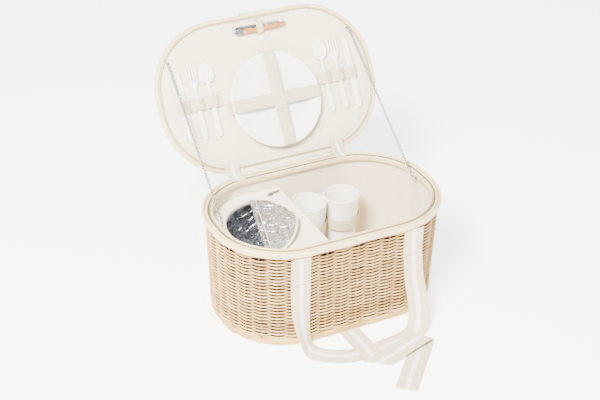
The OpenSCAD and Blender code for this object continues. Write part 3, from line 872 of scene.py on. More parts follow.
for vertex in lid_cloth.vertices:
    x, v, n = vertex.co
    if n > -0.0055:
        vertex.co.z += 0.00025 * math.sin(x * 75 + 2 * math.sin(v * 31)) * math.sin(v * 48 + x * 20)
piece("lid_lining_cloth", lid_cloth, "lid", LINING, ["lid_lining"], lid=True)
seam = beads([lid_ring(share, 0.0153, -0.0043)], 0.0044, (0.0003, 0.0003, 0.0013), THREAD)
piece("lid_seam", seam, "lid", None, [], lid=True)
print("lid built")

# %% [markdown]
# ## Cooler
# Seen from above the cooler is the left end of the basket, cut off by a straight side.
# Its shapes are drawn by casting rays from a point inside and finding where each ray leaves.

# %% Cooler shapes
FOLD = np.array([-0.124, 0.008])
FOLD_LINE = np.array([math.cos(math.radians(75)), math.sin(math.radians(75))])
FOLD_LEFT = np.array([-FOLD_LINE[1], FOLD_LINE[0]])
PANEL_LOW, PANEL_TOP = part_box("cooler_top")[0][2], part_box("cooler_top")[1][2]
COOLER_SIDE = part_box("cooler_shell")[1][0]


def outside_oval(points, inset, height):
    """Above 0 outside the outline at an inset, below 0 inside it."""
    away = np.abs(points / shrink(height)) - [CORNER_X, CORNER_Y]
    far = np.linalg.norm(np.maximum(away, 0), axis=-1)
    return far + np.minimum(away.max(-1), 0) - CORNER_RADIUS + inset


def past_side(points, inset, height):
    return points[..., 0] - COOLER_SIDE + inset


def past_fold(points, inset, height):
    return -((points - FOLD) @ FOLD_LEFT) + inset


def ray_loop(middle, height, limits, angles=180):
    """A closed loop of points where rays from the middle first cross one of the limits."""
    turn = np.arange(angles) / angles * 2 * math.pi
    heading = np.stack([np.cos(turn), np.sin(turn)], -1)
    near = np.zeros(angles)
    far = np.full(angles, 0.4)
    for _ in range(26):
        half = (near + far) / 2
        points = np.asarray(middle) + heading * half[:, None]
        out = np.max([limit(points, inset, height) for limit, inset in limits], 0) > 0
        far = np.where(out, half, far)
        near = np.where(out, near, half)
    points = np.asarray(middle) + heading * near[:, None]
    return np.concatenate([points, np.full((angles, 1), height)], -1)


def cooler_loop(inset, height, middle=(-0.13, 0.0), angles=180):
    return ray_loop(middle, height, [(outside_oval, 0.0175 + inset), (past_side, inset)], angles)


def opening_loop(inset, height, angles=180):
    return ray_loop((-0.170, 0.004), height, [(outside_oval, 0.046 + inset), (past_fold, inset)], angles)


# %% [markdown]
# ### Shell, panel and foil
# The panel is soft: it crowns between its bound edges and dips a little beside the opening.
# The foil is a real crumpled surface: each point is pushed by sharp noise.

# %% Cooler shell, panel and foil
from mathutils import noise

shell_profile = [(0.0, 0.0182), (0.0, 0.06), (0.0, 0.12), (0.0, 0.165), (0.0004, 0.1745), (0.003, 0.1758),
                 (0.0076, 0.1755), (0.008, 0.168), (0.008, 0.10), (0.008, 0.0272), (0.05, 0.0266), (0.05,
                                                                                                    0.0182)]
shell = loft([cooler_loop(inset, height) for inset, height in shell_profile], loop=True)
piece("cooler_walls", shell, "root", PANEL, ["cooler_shell"])

top_outer = [(0.0006, PANEL_LOW + 0.0004), (0.0, PANEL_LOW + 0.003), (0.0010, PANEL_TOP - 0.0012),
             (0.0030, PANEL_TOP - 0.0002)]
panel_sections = [ray_loop((-0.170, 0.004), z, [(outside_oval, 0.0175 + i), (past_side, i)], 260)
                  for i, z in top_outer]
edge = ray_loop((-0.170, 0.004), PANEL_TOP, [(outside_oval, 0.0205), (past_side, 0.003)], 260)
mouth = opening_loop(-0.003, PANEL_TOP, 260)
for part in (0.06, 0.2, 0.4, 0.6, 0.8, 0.94):
    ring = edge * (1 - part) + mouth * part
    puff = math.sin(math.pi * part)
    for point in ring:
        ripple = noise.noise(Vector((point[0] * 38, point[1] * 38, 4.0)))
        point[2] = PANEL_TOP - 0.0002 + 0.0005 * puff * ripple
    panel_sections.append(ring)
for inset, z in ((-0.0012, PANEL_TOP - 0.0002), (0.0, PANEL_TOP - 0.0015), (0.0002, PANEL_LOW + 0.001),
                 (-0.002, PANEL_LOW + 0.0002)):
    panel_sections.append(opening_loop(inset, z, 260))
panel = loft(panel_sections, loop=True)
piece("cooler_panel", panel, "root", PANEL, ["cooler_top"])


def tube_loop(line, radius, sides=8, closed=True):
    """A round tube along a path, for piping and welts."""
    return strands([line], radius, BINDING, sides, 5, closed)


piping = opening_loop(-0.0012, PANEL_TOP + 0.0004, 220)
away_from_fold = (piping[:, :2] - FOLD) @ FOLD_LEFT
kept = away_from_fold > 0.0030
first = int(np.argmax(kept & ~np.roll(kept, 1)))
piping = np.roll(piping, -first, axis=0)[np.roll(kept, -first)]
piece("opening_piping", tube_loop(piping, 0.0015, closed=False), "root", BINDING, [])
fold_ends = piping[[0, -1], :2]
fold_foil = [(*(fold_ends[0] + (fold_ends[1] - fold_ends[0]) * t),
              PANEL_TOP + 0.0006 + 0.0003 * math.sin(t * 40))
             for t in np.linspace(0.01, 0.99, 60)]
edge_piping = ray_loop((-0.170, 0.004), PANEL_TOP - 0.0004, [(outside_oval, 0.0192), (past_side, 0.0017)],
                       260)
piece("panel_piping", tube_loop(edge_piping, 0.0014), "root", BINDING, [])


def crumple(point, amount):
    """A push in millimetre folds, sharp at the crease and flat between."""
    place = Vector(point)
    big = abs(noise.noise(place * 34)) * 1.3 + abs(noise.noise(place * 75 + Vector((5, 1, 2)))) * 0.7
    return amount * (big - 0.45)


foil_levels = [(0.0088, 0.1748), (0.0096, 0.1745)] + [(0.0100, z) for z in np.linspace(0.172, 0.031, 30)]
foil_levels += [(0.0100 + 0.0045 * k, 0.0285) for k in range(1, 16)]
sections = []
for index, (inset, height) in enumerate(foil_levels):
    ring = cooler_loop(inset, height, angles=170)
    middle = np.array([-0.13, 0.0])
    for point in ring:
        push = crumple(point, 0.0042)
        if height > 0.029:
            away = point[:2] - middle
            away /= np.linalg.norm(away)
            point[:2] -= away * max(push, -0.0004) if index > 1 else 0
        else:
            point[2] += max(push, 0)
    sections.append(ring)
foil_middle = sections[-1].copy()
foil_middle[:, :2] = np.array([-0.11, 0.0]) + (foil_middle[:, :2] - [-0.11, 0.0]) * 0.002
sections += [foil_middle, foil_middle - [0, 0, 0.0012]]
back_levels = [(0.055, 0.0276), (0.0094, 0.0276), (0.0090, 0.10), (0.0084, 0.1745)]
sections += [cooler_loop(inset, height, angles=170) for inset, height in back_levels]
foil = loft(sections, loop=True)
for polygon in foil.polygons:
    polygon.use_smooth = False
piece("foil_crumpled", foil, "root", FOIL, ["foil_liner"])
print("cooler built")

# %% [markdown]
# ### Flap
# The flap is drawn closed over the opening and then turned over about its fold, as the joint does,
# so its foil side faces up. Its far edge curls up a little.

# %% Flap
FLAP_LOW, FLAP_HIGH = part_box("cooler_flap")[0][2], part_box("cooler_flap")[1][2]
fold_joint = next(joint for joint in frame["record"]["behaviour"]["joints"] if joint["name"] == "flap_fold")
fold_at = Vector(fold_joint["pos_m"])
turn_over = Matrix.Translation(fold_at) @ Matrix.Rotation(math.pi, 4, Vector((*FOLD_LINE, 0)))
turn_over = turn_over @ Matrix.Translation(-fold_at)


def flap_loop(inset, height, angles=200, at_fold=0.0):
    """The flap's outline as it lies closed, at a height above the fold."""
    limits = [(outside_oval, 0.0475 + inset), (past_fold, 0.0012 + inset - at_fold)]
    ring = ray_loop((-0.170, 0.004), 0.18, limits, angles)
    ring[:, 2] = height
    return ring


def curl(mesh):
    """Bend the open flap: low ripples over it and a lifted far edge."""
    for vertex in mesh.vertices:
        away = (np.array(vertex.co[:2]) - FOLD) @ -FOLD_LEFT
        side = (np.array(vertex.co[:2]) - FOLD) @ FOLD_LINE
        part = max(0.0, (away - 0.012) / 0.054)
        wave = noise.noise(Vector((vertex.co.x * 22, vertex.co.y * 22, 1)))
        lift = 0.017 * part ** 1.8 * min(1.25, max(0.1, 0.62 - 10 * side))
        vertex.co.z += lift + 0.0012 * wave * min(1.0, away / 0.02)


low = 2 * fold_at.z - FLAP_HIGH
high = 2 * fold_at.z - FLAP_LOW
cloth_side = [(0.12, high - 0.0016), (0.05, high - 0.0006), (0.02, high - 0.0004), (0.006, high - 0.0008),
              (0.0012, high - 0.0014)]
foil_side = [(0.0012, low + 0.0030), (0.006, low + 0.0016), (0.02, low + 0.0010), (0.05, low + 0.0012),
             (0.12, low + 0.0016)]
cloth_sheet = loft([flap_loop(min(i, 0.038), z) for i, z in cloth_side] +
                   [flap_loop(min(i, 0.038), z + 0.0012) for i, z in foil_side])
cloth_sheet.transform(turn_over)
curl(cloth_sheet)
rings = []
for k in range(26):
    ring = flap_loop(0.0046 + 0.0013 * k, low + 0.0008, 240, 0.0048)
    for point in ring:
        side = (point[:2] - FOLD) @ FOLD_LINE
        rough = min(1.0, max(0.15, 0.5 + side * 14))
        point[2] -= crumple(point, 0.0036 * rough) + 0.0006
    rings.append(ring)
rings = [flap_loop(0.0042, low + 0.0022, 240, 0.0048)] + rings
foil_sheet = loft(rings + [flap_loop(0.0372, low + 0.0024, 240, 0.0048)], caps=True)
for polygon in foil_sheet.polygons:
    polygon.use_smooth = False
foil_sheet.transform(turn_over)
curl(foil_sheet)
binding_path = flap_loop(0.0022, (low + high) / 2, 200)
from_fold = (binding_path[:, :2] - FOLD) @ FOLD_LEFT
curved = np.abs(from_fold) > 0.0042
first = int(np.argmax(curved & ~np.roll(curved, 1)))
curved = np.roll(curved, -first)
binding_path = np.roll(binding_path, -first, axis=0)[curved]
binding = strands([binding_path], 0.0027, BINDING, 10, 5, False)
binding.transform(turn_over)
curl(binding)
piece("flap_cloth", cloth_sheet, "flap", PANEL, ["cooler_flap"])
piece("flap_foil", foil_sheet, "flap", FOIL, [])
piece("flap_binding", binding, "flap", BINDING, [])


# %% [markdown]
# ### Zip
# A tape follows the opening, with teeth set along it. Each slider has a body with a bridge,
# and a pull tab with a hole.

# %% Zip
ring_shares = np.arange(720) / 720
zip_ring = ring_points(ring_shares, 0.043, PANEL_TOP + 0.0010)
zip_line = zip_ring[zip_ring[:, 0] < -0.036]
tape_sections = []
TAPE_INSETS = (0.0408, 0.0452)
on_panel = zip_ring[:, 0] < -0.036
outer_line, inner_line = [ring_points(ring_shares, inset, PANEL_TOP)[on_panel] for inset in TAPE_INSETS]
for a, b in zip(inner_line, outer_line):
    tape_sections.append([a + [0, 0, 0.0003], a + [0, 0, 0.0008], (a + b) / 2 + [0, 0, 0.0009],
                          b + [0, 0, 0.0008], b + [0, 0, 0.0003]])
piece("zip_tape_cloth", loft(tape_sections), "root", BINDING, ["zip_tape"])
teeth = beads([zip_line], 0.0021, (0.0014, 0.0007, 0.0006), TABLEWARE, closed=False)
piece("zip_teeth", teeth, "root", None, [])


def slider(name, node, body):
    low_corner, high_corner = (Vector(corner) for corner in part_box(node))
    middle = (low_corner + high_corner) / 2
    length = high_corner.x - low_corner.x
    width = high_corner.y - low_corner.y
    sections = []
    for part in np.linspace(0, 1, 9):
        half = width / 2 * (0.62 + 0.38 * math.sin(math.pi * min(1, 0.15 + part * 0.9)))
        x = low_corner.x + length * part
        thick = (high_corner.z - low_corner.z) * (0.30 + 0.14 * math.sin(math.pi * part))
        sections.append([(x, middle.y + half * a, low_corner.z + thick * (1 + b) / 2 * 1.6)
                         for a, b in ((-1, -1), (-1, 0.4), (-0.7, 1), (0.7, 1), (1, 0.4), (1, -1))])
    body_mesh = loft(sections)
    arch = [(middle.x + 0.0042 * math.cos(t), middle.y, low_corner.z + 0.0010 + 0.0022 * math.sin(t))
            for t in np.linspace(0, math.pi, 10)]
    bridge = strands([arch], 0.0006, STEEL, 6, 1, False)
    piece(name, joined([body_mesh, bridge]), body, STEEL, [node])


def pull(name, node, body):
    low_corner, high_corner = (Vector(corner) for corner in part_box(node))
    y = (low_corner.y + high_corner.y) / 2
    x0, x1 = low_corner.x, high_corner.x - 0.0034
    outer_edge = [(x0, y - 0.0016), (x0 + 0.005, y - 0.0026), (x1 - 0.004, y - 0.0026)]
    outer_edge += [(x1 + 0.0032 * math.cos(t), y + 0.0032 * math.sin(t)) for t in np.linspace(-1.2, 1.2, 9)]
    outer_edge += [(x1 - 0.004, y + 0.0026), (x0 + 0.005, y + 0.0026), (x0, y + 0.0016)]
    count = len(outer_edge)
    hole = [(x1 + 0.0014 * math.cos(t), y + 0.0014 * math.sin(t))
            for t in np.linspace(-math.pi, math.pi, count)]
    zs = (low_corner.z, high_corner.z)
    sections = [[(*p, zs[0] + 0.0003) for p in outer_edge], [(*p, zs[1] - 0.0003) for p in outer_edge],
                [(*p, zs[1]) for p in hole], [(*p, zs[0]) for p in hole]]
    piece(name, loft(sections, loop=True), body, STEEL, [node])


slider("slider_front_body", "zip_slider_front", "slider_front")
slider("slider_back_body", "zip_slider_back", "slider_back")
pull("pull_front_tab", "zip_pull_front", "pull_front")
pull("pull_back_tab", "zip_pull_back", "pull_back")

# %% [markdown]
# ## Cups and their elastic
# Each cup is turned from a profile with a rolled lip and a foot ring.
# One elastic runs round both cups and is sewn to the back lining.

# %% Cups
def turned(profile, middle, sides=72):
    """A body of revolution from (radius, height) points, which close on themselves."""
    angle = np.arange(sides) / sides * 2 * math.pi
    sections = []
    for radius, height in profile:
        ring = np.stack([middle[0] + radius * np.cos(angle), middle[1] + radius * np.sin(angle),
                         np.full(sides, height)], -1)
        sections.append(ring)
    return loft(sections)


for name, node, body in (("cup_left_shell", "cup_left", "cup_left_body"),
                         ("cup_right_shell", "cup_right", "cup_right_body")):
    low_corner, high_corner = (Vector(corner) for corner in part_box(node))
    middle = ((low_corner.x + high_corner.x) / 2, (low_corner.y + high_corner.y) / 2)
    z0, z1 = low_corner.z, high_corner.z
    mouth_r = (high_corner.x - low_corner.x) / 2
    foot_r = mouth_r - 0.0095
    slope = (mouth_r - foot_r) / (z1 - z0)
    profile = [(0.0005, z0 + 0.0012), (foot_r - 0.005, z0 + 0.0012), (foot_r - 0.0042, z0),
               (foot_r - 0.002, z0)]
    profile += [(foot_r - 0.0004, z0 + 0.0012), (foot_r, z0 + 0.003)]
    profile += [(foot_r + slope * h - 0.0004, z0 + h) for h in (0.02, 0.05, 0.08, 0.11, 0.138)]
    profile += [(mouth_r - 0.0006, z1 - 0.0042), (mouth_r, z1 - 0.0026), (mouth_r - 0.0002, z1 - 0.0008),
                (mouth_r - 0.0010, z1), (mouth_r - 0.0020, z1 - 0.0008), (mouth_r - 0.0022, z1 - 0.003)]
    profile += [(foot_r + slope * h - 0.0020, z0 + h) for h in (0.138, 0.11, 0.08, 0.05, 0.02, 0.008)]
    profile += [(foot_r - 0.006, z0 + 0.0042), (0.0005, z0 + 0.0040)]
    piece(name, turned(profile, middle), body, TABLEWARE, [node])
print("cups built")

# %% [markdown]
# ## Flat straps
# `strap` sweeps a thin flat section along a route whose width may turn as it goes.
# `smooth_route` rounds a few given points into an even curve.

# %% Strap tools
def smooth_route(route, steps=8):
    """A Catmull-Rom curve through (point, width direction) pairs."""
    points = np.array([[*a, *b] for a, b in route], float)
    padded = np.vstack([2 * points[0] - points[1], points, 2 * points[-1] - points[-2]])
    out = []
    for i in range(1, len(padded) - 2):
        a, b, c, d = padded[i - 1:i + 3]
        for t in np.arange(steps) / steps:
            out.append(0.5 * (2 * b + (c - a) * t + (2 * a - 5 * b + 4 * c - d) * t * t
                              + (3 * b - a - 3 * c + d) * t ** 3))
    out.append(points[-1])
    out = np.array(out)
    return out[:, :3], out[:, 3:]


def strap(points, widths, width, thickness, cup=0.0):
    """A flat strap. u runs across it from 0 to 1 and v along it in metres."""
    points = np.asarray(points, float)
    heading = np.gradient(points, axis=0)
    heading /= np.linalg.norm(heading, axis=1)[:, None]
    across_dir = np.broadcast_to(np.asarray(widths, float), points.shape).copy()
    across_dir -= heading * (across_dir * heading).sum(1)[:, None]
    across_dir /= np.linalg.norm(across_dir, axis=1)[:, None]
    up = np.cross(heading, across_dir)
    shares_across = [0.0, 0.03, 0.15, 0.32, 0.5, 0.68, 0.85, 0.97, 1.0]
    lift = [0.25, 0.5, 0.5, 0.5, 0.5, 0.5, 0.5, 0.5, 0.25]
    u = shares_across + shares_across[::-1]
    sections = []
    for k in range(len(points)):
        ring = []
        for side, order in ((1, range(9)), (-1, range(8, -1, -1))):
            for i in order:
                offset = shares_across[i] - 0.5
                bow = cup * (1 - 4 * offset * offset)
                ring.append(points[k] + across_dir[k] * offset * width
                            + up[k] * (side * lift[i] * thickness + bow))
        sections.append(ring)
    along = np.concatenate([[0], np.cumsum(np.linalg.norm(np.diff(points, axis=0), axis=1))])
    uv = np.zeros((len(points), 19, 2))
    uv[:, :18, 0] = u
    uv[:, 18, 0] = u[0]
    uv[:, :, 1] = along[:, None]
    return loft(sections, uv)


def bezier_points(corners, steps=10):
    """An evenly rounded path through corner points."""
    return smooth_route([(corner, (0, 0, 0)) for corner in corners], steps)[0]


# %% [markdown]
# ## Plates and their crossed elastics
# Two plates lie stacked against the lid. Two elastics cross over them.
# The ends are sewn to the lid. Each elastic is placed once in the basket's frame and rides on no moving
# body.

# %% Plates
PLATE_AT = (0.005, 0.131)
for name, node, low in (("plate_inner_dish", "plate_inner", -0.0030),
                        ("plate_outer_dish", "plate_outer", 0.0002)):
    r = 0.0975
    profile = [(0.0005, low + 0.0006), (0.058, low + 0.0006), (0.0592, low), (0.0612, low),
               (0.0625, low + 0.0008),
               (0.068, low + 0.0026), (0.082, low + 0.0066), (0.094, low + 0.0106), (r - 0.0008,
                                                                                     low + 0.0118),
               (r, low + 0.0124), (r - 0.0006, low + 0.0129), (r - 0.0022, low + 0.0127), (0.092,
                                                                                           low + 0.0114),
               (0.082, low + 0.0084), (0.070, low + 0.0046), (0.064, low + 0.0032), (0.058, low + 0.0026),
               (0.0005, low + 0.0025)]
    piece(name, turned(profile, PLATE_AT, 128), "plates", TABLEWARE, [node], lid=True)


def bridge(length, top, foot, steps=10):
    """Along and height of an elastic that is held at both ends and rides over something."""
    half = length / 2
    corners = [(-half - 0.004, foot + 0.0006), (-half + 0.0006, foot + 0.0010), (-half + 0.0012, top * 0.5),
               (-half + 0.0030, top - 0.0008), (-half + 0.012, top), (-half * 0.5, top - 0.0002), (0, top)]
    corners += [(-a, b) for a, b in reversed(corners[:-1])]
    return bezier_points([(a, 0, b) for a, b in corners], steps)


def blended(made):
    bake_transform(made)


cross = bridge(0.196, 0.0143, -0.0033)
cross_points = np.stack([PLATE_AT[0] + cross[:, 0], np.full(len(cross), PLATE_AT[1]), cross[:, 2]], -1)
cross_mesh = strap(cross_points, (0, 1, 0), 0.026, 0.0012)
made = piece("plate_elastic_cross", cross_mesh, None, ELASTIC, ["plate_band_cross"], lid=True)
blended(made)
upright_line = bridge(0.196, 0.0158, -0.0033)
long_points = np.stack([np.full(len(upright_line), PLATE_AT[0] + 0.004), PLATE_AT[1] + upright_line[:, 0],
                        upright_line[:, 2]], -1)
long_points[:, 0] += -0.010 * (long_points[:, 1] - PLATE_AT[1])
long_mesh = strap(long_points, (1, 0, 0), 0.026, 0.0012)
tail = strap([(0.0092, y, 0.0169) for y in np.linspace(0.1085, 0.124, 6)], (1, 0, 0), 0.0258, 0.0010)
long_all = joined([long_mesh, tail])
made = piece("plate_elastic_long", long_all, None, ELASTIC, ["plate_band_long"], lid=True)
blended(made)

# %% [markdown]
# ## Cutlery
# Each piece is a row of cross-sections along its length: half width, middle height and thickness.
# The spoon's bowl dips, the fork's neck arches, and the knife has a blade with fine teeth.

# %% Cutlery
def cutlery_body(stations, points=14):
    """A body from (v, half width, middle height, half thickness, dish) stations."""
    turn = np.arange(points) / points * 2 * math.pi
    sections = []
    for v, half, height, thick, dish in stations:
        x = np.sign(np.cos(turn)) * np.abs(np.cos(turn)) ** 0.75 * half
        z = np.sign(np.sin(turn)) * np.abs(np.sin(turn)) ** 0.75 * thick
        sink = dish * (1 - (x / max(half, 1e-5)) ** 2)
        sections.append(np.stack([x, np.full(points, v), height + z - sink], -1))
    return loft(sections)


CUTLERY_MIDDLE = 0.0008
HANDLE = [(0.0000, 0.0012, 0, 0.0012, 0), (0.0010, 0.0040, 0, 0.0014, 0), (0.0035, 0.0058, 0, 0.0015, 0),
          (0.0070, 0.0064, 0, 0.0015, 0), (0.030, 0.0058, 0, 0.0015, 0), (0.070, 0.0042, 0, 0.0014, 0)]


def spoon_mesh():
    stations = HANDLE + [(0.098, 0.0030, 0.0, 0.0014, 0), (0.110, 0.0034, 0.0001, 0.0012, 0)]
    length = 0.0475
    for part in np.linspace(0.05, 1, 15):
        v = 0.1065 + length * part
        half = 0.0152 * math.sin(math.pi * min(part, 0.9999) ** 0.86) ** 0.6 + 0.0006
        dish = 0.0016 * math.sin(math.pi * part)
        if v > 0.110:
            stations.append((v, max(half, 0.0034) if part < 0.4 else half, 0.0006, 0.0009, dish))
    return cutlery_body(stations)


def fork_mesh():
    neck = HANDLE + [(0.096, 0.0030, 0.0, 0.0014, 0), (0.104, 0.0042, 0.0002, 0.0013, 0),
                     (0.110, 0.0092, 0.0004, 0.0011, 0.0004), (0.116, 0.0112, 0.0004, 0.0010, 0.0006),
                     (0.1215, 0.0114, 0.0004, 0.0010, 0.0006)]
    parts = [cutlery_body(neck)]
    for x in (-0.0095, -0.0032, 0.0032, 0.0095):
        prong = []
        for v, half, height in ((0.119, 0.0019, 0.0001), (0.132, 0.0018, 0.0004), (0.146, 0.0014, 0.0008),
                                (0.152, 0.0010, 0.0009), (0.154, 0.0004, 0.0009)):
            prong.append((v, half, height, 0.0010 if v < 0.15 else 0.0006, 0))
        mesh = cutlery_body(prong, points=8)
        mesh.transform(Matrix.Translation((x, 0, 0)))
        parts.append(mesh)
    return joined(parts)


def knife_mesh():
    stations = []
    for v, left, right, thick in ((0.0, -0.0012, 0.0012, 0.0012), (0.0010, -0.0042, 0.0042, 0.0014),
                                  (0.0040, -0.0064, 0.0064, 0.0015), (0.0080, -0.0069, 0.0069, 0.0015),
                                  (0.040, -0.0062, 0.0062, 0.0015), (0.066, -0.0058, 0.0058, 0.0015),
                                  (0.070, -0.0076, 0.0066, 0.0014)):
        stations.append((v, left, right, thick))
    for k in range(37):
        v = 0.071 + 0.0017 * k
        notch = 0.0005 if k % 2 else 0.0
        stations.append((v, -0.0078 + notch, 0.0068, 0.0012))
    for v, left, right, thick in ((0.136, -0.0072, 0.0068, 0.0012), (0.141, -0.0050, 0.0064, 0.0011),
                                  (0.1445, -0.0010, 0.0048, 0.0009), (0.1460, 0.0016, 0.0030, 0.0006)):
        stations.append((v, left, right, thick))
    turn = np.arange(12) / 12 * 2 * math.pi
    sections = []
    for v, left, right, thick in stations:
        middle, half = (left + right) / 2, (right - left) / 2
        taper = np.where(np.cos(turn) < -0.6, 0.35, 1.0)
        sections.append(np.stack([middle + half * np.cos(turn), np.full(12, v),
                                  np.sin(turn) * thick * taper], -1))
    return loft(sections)


def place_cutlery(kind, side, x, low, mesh):
    mesh.transform(Matrix.Translation((x, low, CUTLERY_MIDDLE)))
    name = kind + "_" + side
    piece(name + "_moulded", mesh, name + "_body", CUTLERY, [name], lid=True)


for side, way in (("left", -1), ("right", 1)):
    place_cutlery("spoon", side, way * 0.127, 0.082, spoon_mesh())
    place_cutlery("fork", side, way * 0.158, 0.082, fork_mesh())
    place_cutlery("knife", side, way * 0.188, 0.080, knife_mesh())

# %% [markdown]
# ### Cutlery elastics
# Each elastic arches over three handles and is stitched down between them.

# %% Cutlery elastics
SEAMS = [0.1115, 0.1425, 0.173, 0.201]
for side, way in (("left", -1), ("right", 1)):
    corners = [(SEAMS[0] - 0.0035, -0.0026), (SEAMS[0] - 0.0015, -0.0024)]
    for k in range(3):
        a, b = SEAMS[k], SEAMS[k + 1]
        corners += [(a + 0.0015, -0.0022), (a + 0.0065, 0.0022), ((a + b) / 2, 0.0037),
                    (b - 0.0065, 0.0022),
                    (b - 0.0015, -0.0022)]
    corners += [(SEAMS[3] + 0.0015, -0.0026)]
    line = bezier_points([(way * a, 0.153, b) for a, b in corners], 5)
    mesh = strap(line, (0, 1, 0), 0.024, 0.0011)
    stitch_lines = [[(way * x, v, -0.0014) for v in np.linspace(0.1425, 0.1635, 8)] for x in SEAMS]
    sewn = beads(stitch_lines, 0.0026, (0.0003, 0.0003, 0.0008), THREAD, closed=False)
    piece("cutlery_elastic_" + side, mesh, "lid", ELASTIC, ["cutlery_band_" + side], lid=True)
    piece("cutlery_stitches_" + side, sewn, "lid", None, [], lid=True)
print("cutlery built")

# %% [markdown]
# ### Foil at the fold
# A narrow strip of foil covers the fold between the opening and the flap.

# %% Foil at the fold
strip = strap(fold_foil, (*-FOLD_LEFT, 0), 0.0105, 0.0006, 0.0006)
for vertex in strip.vertices:
    vertex.co.z += max(-0.0003, crumple(vertex.co, 0.0010))
piece("fold_foil_strip", strip, "root", FOIL, [])

# %% [markdown]
# ## Corkscrew
# A curved wooden handle with steel bolsters holds a coiled worm, a lever and a small blade.
# A loop of elastic holds it to the lid.

# %% Corkscrew
CORK = Matrix.Translation((0.006, 0.282, 0))
LEVER_PIVOT = (0.008, 0.0035)
PIN_CENTRE = 0.0002
WASHER_RADIUS = 0.0034


def wood_section(x, low, high, bottom, top):
    turn = np.arange(14) / 14 * 2 * math.pi
    y = (low + high) / 2 + (high - low) / 2 * np.sign(np.cos(turn)) * np.abs(np.cos(turn)) ** 0.7
    z = (bottom + top) / 2 + (top - bottom) / 2 * np.sign(np.sin(turn)) * np.abs(np.sin(turn)) ** 0.8
    return np.stack([np.full(14, x), y, z], -1)


def scale_mesh(bottom, top):
    """One wooden or steel side of the handle, between two levels."""
    outline_rows = [(-0.0340, -0.0085, 0.0000), (-0.0325, -0.0093, 0.0004), (-0.015, -0.0091, -0.0004),
                    (0.005, -0.0087, 0.0000), (0.020, -0.0084, 0.0002), (0.035, -0.0082, 0.0004),
                    (0.046, -0.0084, 0.0010), (0.053, -0.0080, 0.0028), (0.0575, -0.0062, 0.0024),
                    (0.0592, -0.0036, 0.0004)]
    return loft([wood_section(x, low, high, bottom, top) for x, low, high in outline_rows])


def steel_end(bottom, top):
    rows = [(-0.0543, -0.0030, 0.0010), (-0.0525, -0.0068, 0.0044), (-0.0480, -0.0092, 0.0064),
            (-0.0420, -0.0094, 0.0058), (-0.0370, -0.0093, 0.0018), (-0.0335, -0.0092, 0.0002)]
    return loft([wood_section(x, low, high, bottom, top) for x, low, high in rows])


def disc(radius, bottom, top):
    """A flat steel disc on the lever's pivot."""
    profile = [(PIN_CENTRE, bottom), (radius, bottom), (radius, top), (PIN_CENTRE, top)]
    return turned(profile, LEVER_PIVOT, 24)


wood = joined([scale_mesh(-0.0028, -0.0004), scale_mesh(0.0034, 0.0058)])
wood.transform(CORK)
piece("corkscrew_wood", wood, "corkscrew", WOOD, ["corkscrew_handle"], lid=True)
core = loft([wood_section(x, -0.0014 if x > 0.013 else -0.0090, 0.0002, -0.0006, 0.0036)
             for x in np.linspace(-0.034, 0.056, 20)])
rivets = []
for x, y in ((-0.047, -0.001), (0.050, -0.004), (0.008, -0.004), (-0.028, -0.0045)):
    rivets.append(turned([(0.0002, 0.0056), (0.0012, 0.0062), (0.0020, 0.0060), (0.0022, 0.0054),
                          (0.0002, 0.0050)],
                         (x, y), 16))
hinge_knuckle, knuckle_top = disc(WASHER_RADIUS, -0.0024, -0.0002), disc(WASHER_RADIUS, 0.0032, 0.0054)
metal = joined([core, steel_end(-0.0028, -0.0002), steel_end(0.0032, 0.0058), hinge_knuckle,
                knuckle_top] + rivets)
metal.transform(CORK)
piece("corkscrew_metal", metal, "corkscrew", STEEL, [], lid=True)

turns = np.linspace(0, 2 * math.pi * 5, 150)
taper = np.clip((150 - np.arange(150)) / 26, 0.15, 1)
helix = np.stack([0.0196 + 0.0300 * turns / turns[-1], 0.0035 + 0.0023 * np.cos(turns) * taper ** 0.4,
                  0.0029 + 0.0023 * np.sin(turns) * taper ** 0.4], -1)
stem = [(0.0085, 0.0035, 0.0015), (0.0130, 0.0035, 0.0016), (0.0170, 0.0042, 0.0020),
        (0.0185, 0.0055, 0.0026)]
worm_line = np.concatenate([np.array(stem), helix])
worm_radii = np.concatenate([np.ones(4), taper ** 0.7])
worm = joined([strands([worm_line], 0.0010, STEEL, 8, 1, False, [worm_radii]),
               disc(0.0028, 0.0003, 0.0027)])
worm.transform(CORK)
piece("corkscrew_coil", worm, "worm", STEEL, ["corkscrew_worm"], lid=True)

lever_rows = [(-0.0502, 0.0030, 0.0050), (-0.0490, 0.0018, 0.0066), (-0.0465, 0.0014, 0.0073),
              (-0.042, 0.0020, 0.0074),
              (-0.030, 0.0022, 0.0073), (-0.022, 0.0030, 0.0072), (-0.014, 0.0022, 0.0072), (-0.0085,
                                                                                             0.0020, 0.0072),
              (-0.0052, 0.0026, 0.0068), (-0.0044, 0.0036, 0.0056)]
lever = loft([wood_section(x, low, high, 0.0003, 0.0026) for x, low, high in lever_rows])
lever.transform(CORK)
piece("corkscrew_lever_arm", lever, "lever", STEEL, ["corkscrew_lever"], lid=True)
blade_rows = [(0.0182, -0.0044, -0.0040), (0.0200, -0.0056, -0.0028), (0.026, -0.0060, -0.0025),
              (0.046, -0.0060, -0.0025), (0.0505, -0.0060, -0.0020), (0.0521, -0.0046, -0.0032)]
blade = loft([wood_section(x, low, high, 0.0003, 0.0015) for x, low, high in blade_rows])
blade.transform(CORK)
piece("corkscrew_knife", blade, "blade", STEEL, ["corkscrew_blade"], lid=True)

